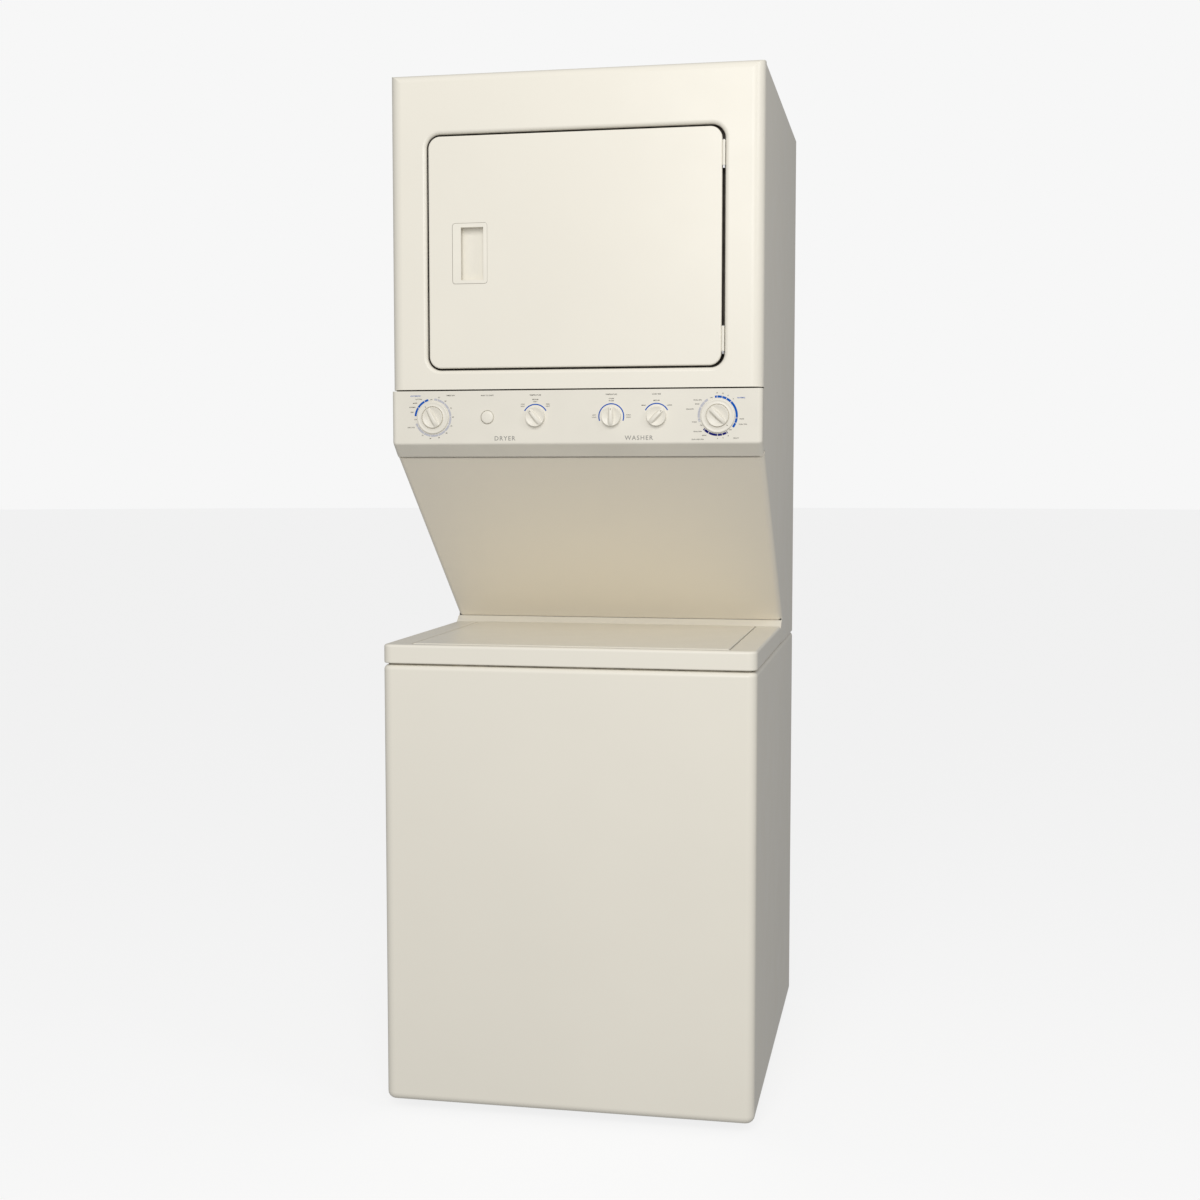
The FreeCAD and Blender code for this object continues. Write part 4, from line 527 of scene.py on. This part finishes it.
def band(name, control, inner, outer, breaks, colour, gap=1.6):
    """Arcs between each pair of breaks, in degrees, with a small gap at each."""
    bm = bmesh.new()
    for start, stop in zip(breaks, breaks[1:]):
        arc(bm, CONTROLS[control], inner, outer, start - gap / 2, stop + gap / 2)
    piece(name, bm, "root", "console_plastic", INKS[colour], smooth=False)


def words(name, entries, colour, spacing=1.0):
    """Plain upright lettering, from (x, z, text, letter height) entries centred on each place."""
    bm = bmesh.new()
    for x, z, text, tall in entries:
        curve = bpy.data.curves.new(name, "FONT")
        curve.body = text
        curve.size = tall / CAPITAL
        curve.space_character = spacing
        curve.align_x = "CENTER"
        curve.align_y = "CENTER"
        curve.extrude = PRINT / 2
        curve.offset = WEIGHT * tall
        curve.resolution_u = 3
        holder = bpy.data.objects.new(name, curve)
        mesh = bpy.data.meshes.new_from_object(holder)
        mesh.transform(Matrix.Translation((x, PANEL_Y - PRINT / 2, z)) @ Matrix.Rotation(math.pi / 2, 4, "X"))
        bm.from_mesh(mesh)
        bpy.data.objects.remove(holder)
        bpy.data.curves.remove(curve)
        bpy.data.meshes.remove(mesh)
    piece(name, bm, "root", "console_plastic", INKS[colour], smooth=False)


def around(control, radius, degrees, text, tall):
    """An entry on a circle round a control."""
    place = on_panel(CONTROLS[control], radius, degrees, 0)
    return place.x, place.z, text, tall


def beside(control, x, z, text, tall=SMALL):
    """An entry at x, z millimetres from a control's centre."""
    centre = CONTROLS[control]
    return centre.x + x * MM, centre.z + z * MM, text, tall


def printed_dials():
    """The rings, figures and legends round the two timers."""
    dryer, washer = "dryer_timer_knob", "washer_timer_knob"
    inner, outer = 31.5 * MM, 35.2 * MM
    band("dryer_dial_blue", dryer, inner, outer, (176, 147, 118, 104), "blue")
    hours = (86, 74.5, 49, 28, 2.5, -24, -47, -73, -98, -121, -150, -162)
    band("dryer_dial_grey", dryer, inner, outer, hours, "grey")
    minutes = zip((72, 51, 26, 1, -24, -48, -73, -98, -122), range(90, 0, -10))
    figures = [around(dryer, 38.4 * MM, angle, str(number), PLAIN) for angle, number in minutes]
    figures += [
        around(dryer, 33 * MM, 95.5, "OFF", TINY),
        around(dryer, 33.5 * MM, -174, "OFF", TINY),
        beside(dryer, -27, 33.5, "COTTON"),
        beside(dryer, -34, 26.5, "MORE"),
        beside(dryer, -39, 19, "NORMAL"),
        beside(dryer, -40, 10, "LESS"),
        beside(dryer, -42, -18, "DELICATE"),
        beside(dryer, 34, 40, "TIMED DRY", PLAIN),
    ]
    words("dryer_dial_figures", figures, "dark")

    inner, outer = 32.0 * MM, 36.0 * MM
    band("washer_dial_blue", washer, inner, outer, (99.5, 92, 77, 62.5, 46.5, -7, -22.5, -37.5), "blue")
    band("washer_dial_navy", washer, inner, outer, (-58, -62, -76, -90.5, -118, -133, -138), "navy")
    band("washer_dial_grey", washer, inner, outer, (199, 195, 187, 153, 134, 121), "grey")
    minutes = ((92, 14), (77.5, 10), (63, 6), (47, 4), (-62, 8), (-76, 6), (-90.5, 4))
    figures = [around(washer, 40.4 * MM, angle, str(number), PLAIN) for angle, number in minutes]
    figures += [around(washer, 34 * MM, angle, "OFF", TINY) for angle in (110, -48, -150)]
    figures += [
        beside(washer, 43, -6, "RINSE"),
        beside(washer, 45, -15.5, "FINAL SPIN"),
        beside(washer, -36, 28, "FINAL SPIN"),
        beside(washer, -37, 21, "RINSE"),
        beside(washer, -50, 12, "DELICATE"),
        beside(washer, -42, -11, "WASH"),
        beside(washer, -36, -28, "FINAL SPIN"),
        beside(washer, -24, -35, "RINSE"),
        beside(washer, -36, -42, "SOAK AND SPIN"),
        beside(washer, 33, -40, "HEAVY", PLAIN),
    ]
    words("washer_dial_figures", figures, "dark")
    headings = [beside(dryer, -33, 39.5, "AUTOMATIC", HEADING), beside(washer, 42, 31.5, "NORMAL", HEADING)]
    words("dial_headings", headings, "blue")


def printed_selectors():
    """The arcs and legends over the start button and the selectors, and the name of each machine."""
    dryer_heat, washer_heat, load = "dryer_temperature_knob", "washer_temperature_knob", "load_size_knob"
    inner, outer = 21.7 * MM, 23.8 * MM
    band("dryer_heat_arc", dryer_heat, inner, outer, (151, 29), "blue", 0)
    band("washer_heat_arc", washer_heat, inner, outer, (200, -20), "blue", 0)
    band("load_size_arc", load, inner, outer, (152, 28), "blue", 0)
    title = 39.5  # millimetres over a control's centre
    entries = [
        beside("start_button", 0, title, "PUSH TO START", PLAIN),
        beside(dryer_heat, 0, title, "TEMPERATURE", PLAIN),
        beside(dryer_heat, 0, 31.5, "MEDIUM"),
        beside(dryer_heat, 0, 27.6, "HEAT"),
        beside(dryer_heat, -23.5, 23, "LOW"),
        beside(dryer_heat, -23.5, 19.2, "HEAT"),
        beside(dryer_heat, 23.5, 23, "HIGH"),
        beside(dryer_heat, 23.5, 19.2, "HEAT"),
        beside(washer_heat, 0, title, "TEMPERATURE", PLAIN),
        beside(washer_heat, 0, 32, "WARM"),
        beside(washer_heat, 0, 28, "WARM"),
        beside(washer_heat, -31.5, 2.5, "HOT"),
        beside(washer_heat, -31.5, -1.5, "COLD"),
        beside(washer_heat, 31.5, 2.5, "COLD"),
        beside(washer_heat, 31.5, -1.5, "COLD"),
        beside(load, 0, title, "LOAD SIZE", PLAIN),
        beside(load, 0, 28, "MEDIUM"),
        beside(load, -23, 19.5, "SMALL"),
        beside(load, 23.5, 19.5, "LARGE"),
    ]
    words("selector_legends", entries, "dark")
    foot = 1.2455  # height of the machines' names, under the dials
    names = [(-0.128, foot, "DRYER", LARGE), (0.1205, foot, "WASHER", LARGE)]
    words("machine_names", names, "name", 1.22)


# ---------------------------------------------------------------- dryer door
def rounded_loop(left, right, low, high, radius):
    """Points as (x, z) round a rectangle with round corners."""
    steps = 8
    points = []
    for x, z, start in ((right, high, 0), (left, high, 90), (left, low, 180), (right, low, 270)):
        middle = (x - math.copysign(radius, x), z - math.copysign(radius, z - (low + high) / 2))
        for i in range(steps + 1):
            angle = math.radians(start + 90 * i / steps)
            points.append((middle[0] + radius * math.cos(angle), middle[1] + radius * math.sin(angle)))
    return points


def frame_band(name, outlines, body, slot):
    """A closed band through a row of (y, rounded rectangle) outlines."""
    bm = bmesh.new()
    loops = [[Vector((x, y, z)) for x, z in rounded_loop(*shape)] for y, shape in outlines]
    skin(bm, [*loops, loops[0]])
    sharpen(piece(name, bm, body, slot), 40)


def door_edges():
    """Dark sheets of painted shade in the gap round the door: one lines the door's recess, the other edges
    the door's own rim.
    """
    low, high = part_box("dryer_door_skin")
    gap, hinge_gap = 3.5 * MM, 5.5 * MM  # between the door's rim and the recess
    left, right, under, over = low.x - gap, high.x + hinge_gap, low.z - gap, high.z + gap
    recess_corner, rim_corner = 25 * MM, 22 * MM

    def recess(inset):
        return left + inset, right - inset, under + inset, over - inset, recess_corner - inset

    start, floor = PANEL_Y + 7.2 * MM, PANEL_Y + 23.9 * MM  # below the recess's rolled edge, and its floor
    buried, foam, ledge, thick = recess(0.05 * MM), recess(0.4 * MM), recess(16 * MM), 0.6 * MM
    # painted shade: a dark lining over the recess's walls and floor darkens the gap round the door
    frame_band("recess_shade_lining", [
        (start, buried), (start, foam), (floor - thick, foam),
        (floor - thick, ledge), (floor, ledge), (floor, buried),
    ], "root", "gasket")

    def rim(grow):
        return low.x - grow, high.x + grow, low.z - grow, high.z + grow, rim_corner + grow

    near, far = low.y + 4.2 * MM, high.y - 0.3 * MM
    inside, proud = rim(-0.1 * MM), rim(0.45 * MM)
    # painted shade: a dark band over the door's rim darkens its side of the gap
    frame_band("door_rim_shade", [
        (near, inside), (near + 0.5 * MM, proud), (far, proud), (far, inside),
    ], "dryer_door", "gasket")


# ---------------------------------------------------------------- inside and behind
# A hole from its middle outward, as (part of its radius, millimetres over the wall): the dark disc of painted
# shade, then rim.
HOLE_PROFILE = ((0.0, 0.10), (1.0, 0.10), (1.0, 0.32), (1.22, 0.32), (1.45, 0.02))
HOLE_SIDES = 10
NEEDLE = 1e-5  # stands in for a radius of nothing in the middle of a hole's dark disc


def holes(name, spots, radius, body, slot):
    """Round perforations, from (centre, outward normal) pairs: a dark disc of painted shade where the hole
    would show its depth, inside a thin rolled rim.
    """
    shade_discs, rims = bmesh.new(), bmesh.new()
    angles = [math.tau * i / HOLE_SIDES for i in range(HOLE_SIDES)]
    for centre, normal in spots:
        side = normal.orthogonal().normalized()
        other = normal.cross(side)
        loops = []
        for share, rise in HOLE_PROFILE:
            reach = max(share * radius, NEEDLE)
            loops.append([
                centre + normal * rise * MM + (side * math.cos(angle) + other * math.sin(angle)) * reach
                for angle in angles
            ])
        skin(shade_discs, loops[:2])
        skin(rims, loops[1:])
    # painted shade: the dark disc inside each rim stands in for the shade down the hole
    piece(name + "_shade_disc", shade_discs, body, slot, HOLE_SHADE)
    sharpen(piece(name + "_rims", rims, body, slot), 50)


def basket_holes():
    """Rows of drain holes through the wall of the wash basket."""
    low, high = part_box("wash_basket")
    centre = (low + high) / 2
    inner = (high.x - low.x) / 2 - 1.25 * MM  # just proud of the wall, which is 1.2 mm thick
    rows, columns, first, pitch = 11, 40, 75, 36  # the last two in millimetres up from its bottom
    spots = []
    for row in range(rows):
        z = low.z + (first + pitch * row) * MM
        for column in range(columns):
            angle = math.tau * (column + row % 2 / 2) / columns
            inward = Vector((-math.cos(angle), -math.sin(angle), 0))
            spots.append((Vector((centre.x, centre.y, z)) - inward * inner, inward))
    holes("basket_holes", spots, 2.2 * MM, "basket", "basket_enamel")


def drum_holes():
    """The rings of holes in the drum's back wall that let the hot air in."""
    low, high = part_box("dryer_drum")
    axis_z = (low.z + high.z) / 2
    inner_face = high.y - 19 * MM  # the drum's stub shaft reaches 18 mm behind its 1 mm wall
    rings, first, pitch = 7, 140, 17  # the last two in millimetres out from its axis
    spots = []
    for ring in range(rings):
        radius = (first + pitch * ring) * MM
        count = 18 + 3 * ring
        for i in range(count):
            angle = math.tau * (i + ring % 2 / 2) / count
            place = Vector((radius * math.cos(angle), inner_face, axis_z + radius * math.sin(angle)))
            spots.append((place, Vector((0, -1, 0))))
    holes("drum_holes", spots, 3.0 * MM, "drum", "drum_enamel")


def lint_screen():
    """Woven cloth on both faces of the lint filter, held by ribs."""
    low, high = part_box("lint_filter")
    middle = (low.y + high.y) / 2
    left, right, under, over = low.x + 12 * MM, high.x - 12 * MM, low.z + 10 * MM, low.z + 140 * MM
    half_cloth, half_rib = 0.15 * MM, 1.2 * MM
    columns, rows = 6, 3
    cloth, ribs = bmesh.new(), bmesh.new()
    for side in (-1, 1):
        sheet = middle + side * 0.6 * MM
        block(cloth, (left, sheet - half_cloth, under), (right, sheet + half_cloth, over))
        near, far = sorted((middle + side * 0.7 * MM, middle + side * 2.2 * MM))
        for i in range(1, columns):
            x = left + (right - left) * i / columns
            block(ribs, (x - half_rib, near, under), (x + half_rib, far, over))
        for i in range(1, rows):
            z = under + (over - under) * i / rows
            block(ribs, (left, near, z - half_rib), (right, far - 0.2 * MM * side, z + half_rib))
    piece("lint_screen_cloth", cloth, "filter", "baffle_plastic", SCREEN, smooth=False)
    soften(piece("lint_screen_ribs", ribs, "filter", "baffle_plastic", smooth=False), 0.3 * MM)


def inlet_rings():
    """A red ring on the hot inlet and a blue one on the cold inlet."""
    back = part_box("washer_rear_panel")[1].y
    mounts = {mount["name"]: mount for mount in frame["record"]["mounts"]}
    for name, colour in (("hot_inlet", HOT), ("cold_inlet", COLD)):
        bm = bmesh.new()
        x, _, z = mounts[name]["pos_m"]
        radius = mounts[name]["dims"]["r_mm"] * MM
        inner, edge, outer = radius + 0.05 * MM, radius + 3.4 * MM, radius + 4 * MM
        profile = [
            (0.2 * MM, inner), (0.2 * MM, edge), (0.6 * MM, outer),
            (2.6 * MM, outer), (3.2 * MM, edge), (3.4 * MM, inner),
        ]
        lathe(bm, Vector((x, back, z)), profile, 48, closed=True)
        sharpen(piece(name + "_ring", bm, "root", "dark_plastic", colour), 50)


# ---------------------------------------------------------------- stage
ROOM_SEEN = 0.93  # how bright the room is to the camera
ROOM_LIGHT = 0.34  # and how much light it gives
FLOOR_GLOW = 0.80  # light of the floor's own, which keeps it pale all over
FLOOR_RADIUS = 60
LENS, SENSOR = 50.13, 36  # millimetres
EYE = (0.6244, -3.3175, 1.1765)  # where the camera stands
LOOKS_DOWN, LOOKS_LEFT = 4.230, 10.924  # degrees


def area_light(name, place, target, size, power, glossy=True):
    """A soft light at place that faces target, in watts; not glossy keeps it out of reflections."""
    data = bpy.data.lights.new(name, "AREA")
    data.shape = "RECTANGLE"
    data.size, data.size_y = size
    data.energy = power
    lamp = bpy.data.objects.new(name, data)
    bpy.context.scene.collection.objects.link(lamp)
    lamp.location = place
    lamp.visible_glossy = glossy
    lamp.rotation_euler = (Vector(target) - Vector(place)).to_track_quat("-Z", "Y").to_euler()


def studio():
    """A pale floor that fades into a pale room, and soft light from the front."""
    world = bpy.data.worlds.new("room")
    bpy.context.scene.world = world
    world.use_nodes = True
    tree = world.node_tree
    tree.nodes.clear()
    seen, given = tree.nodes.new("ShaderNodeBackground"), tree.nodes.new("ShaderNodeBackground")
    seen.inputs["Color"].default_value = (ROOM_SEEN, ROOM_SEEN, ROOM_SEEN, 1)
    given.inputs["Color"].default_value = (1.0, 1.0, 1.0, 1)
    given.inputs["Strength"].default_value = ROOM_LIGHT
    path, mixed = tree.nodes.new("ShaderNodeLightPath"), tree.nodes.new("ShaderNodeMixShader")
    output = tree.nodes.new("ShaderNodeOutputWorld")
    tree.links.new(path.outputs["Is Camera Ray"], mixed.inputs["Fac"])
    tree.links.new(given.outputs["Background"], mixed.inputs[1])
    tree.links.new(seen.outputs["Background"], mixed.inputs[2])
    tree.links.new(mixed.outputs["Shader"], output.inputs["Surface"])

    bm = bmesh.new()
    bmesh.ops.create_circle(bm, cap_ends=True, segments=96, radius=FLOOR_RADIUS)
    mesh = bpy.data.meshes.new("floor")
    bm.to_mesh(mesh)
    bm.free()
    floor = bpy.data.objects.new("floor", mesh)
    bpy.context.scene.collection.objects.link(floor)
    glow = {"Emission Color": (1, 1, 1, 1), "Emission Strength": FLOOR_GLOW}
    graph = Graph("floor_paint", (0.16, 0.16, 0.16), 0.9, **glow)
    graph.material.cycles.emission_sampling = "NONE"
    mesh.materials.append(graph.material)
    floor.visible_diffuse = False
    floor.visible_glossy = False

    front = -0.34  # roughly the machine's front
    area_light("key", (0.7, -5.0, 2.9), (0.0, front, 1.2), size=(2.6, 2.0), power=72)
    area_light("lift", (0.4, -4.0, 4.2), (0.0, front, 1.0), size=(2.4, 1.6), power=74, glossy=False)
    area_light("fill", (0.4, -4.4, 1.0), (0.0, -0.1, 1.0), size=(2.6, 0.9), power=29, glossy=False)
    area_light("rim", (2.0, -1.5, 2.5), (0.0, front, 1.5), size=(0.8, 1.2), power=9)
    bpy.context.scene.view_settings.view_transform = "Standard"


def camera():
    """Looks slightly down and to the left, from in front of the machine and off to its right."""
    data = bpy.data.cameras.new("camera")
    data.sensor_width = SENSOR
    data.lens = LENS
    data.clip_end = 200
    eye = bpy.data.objects.new("camera", data)
    bpy.context.scene.collection.objects.link(eye)
    eye.location = EYE
    eye.rotation_euler = (math.radians(90 - LOOKS_DOWN), 0, math.radians(LOOKS_LEFT))
    bpy.context.scene.camera = eye


dress_frame()
controls()
printed_dials()
printed_selectors()
door_edges()
basket_holes()
drum_holes()
lint_screen()
inlet_rings()
studio()
camera()
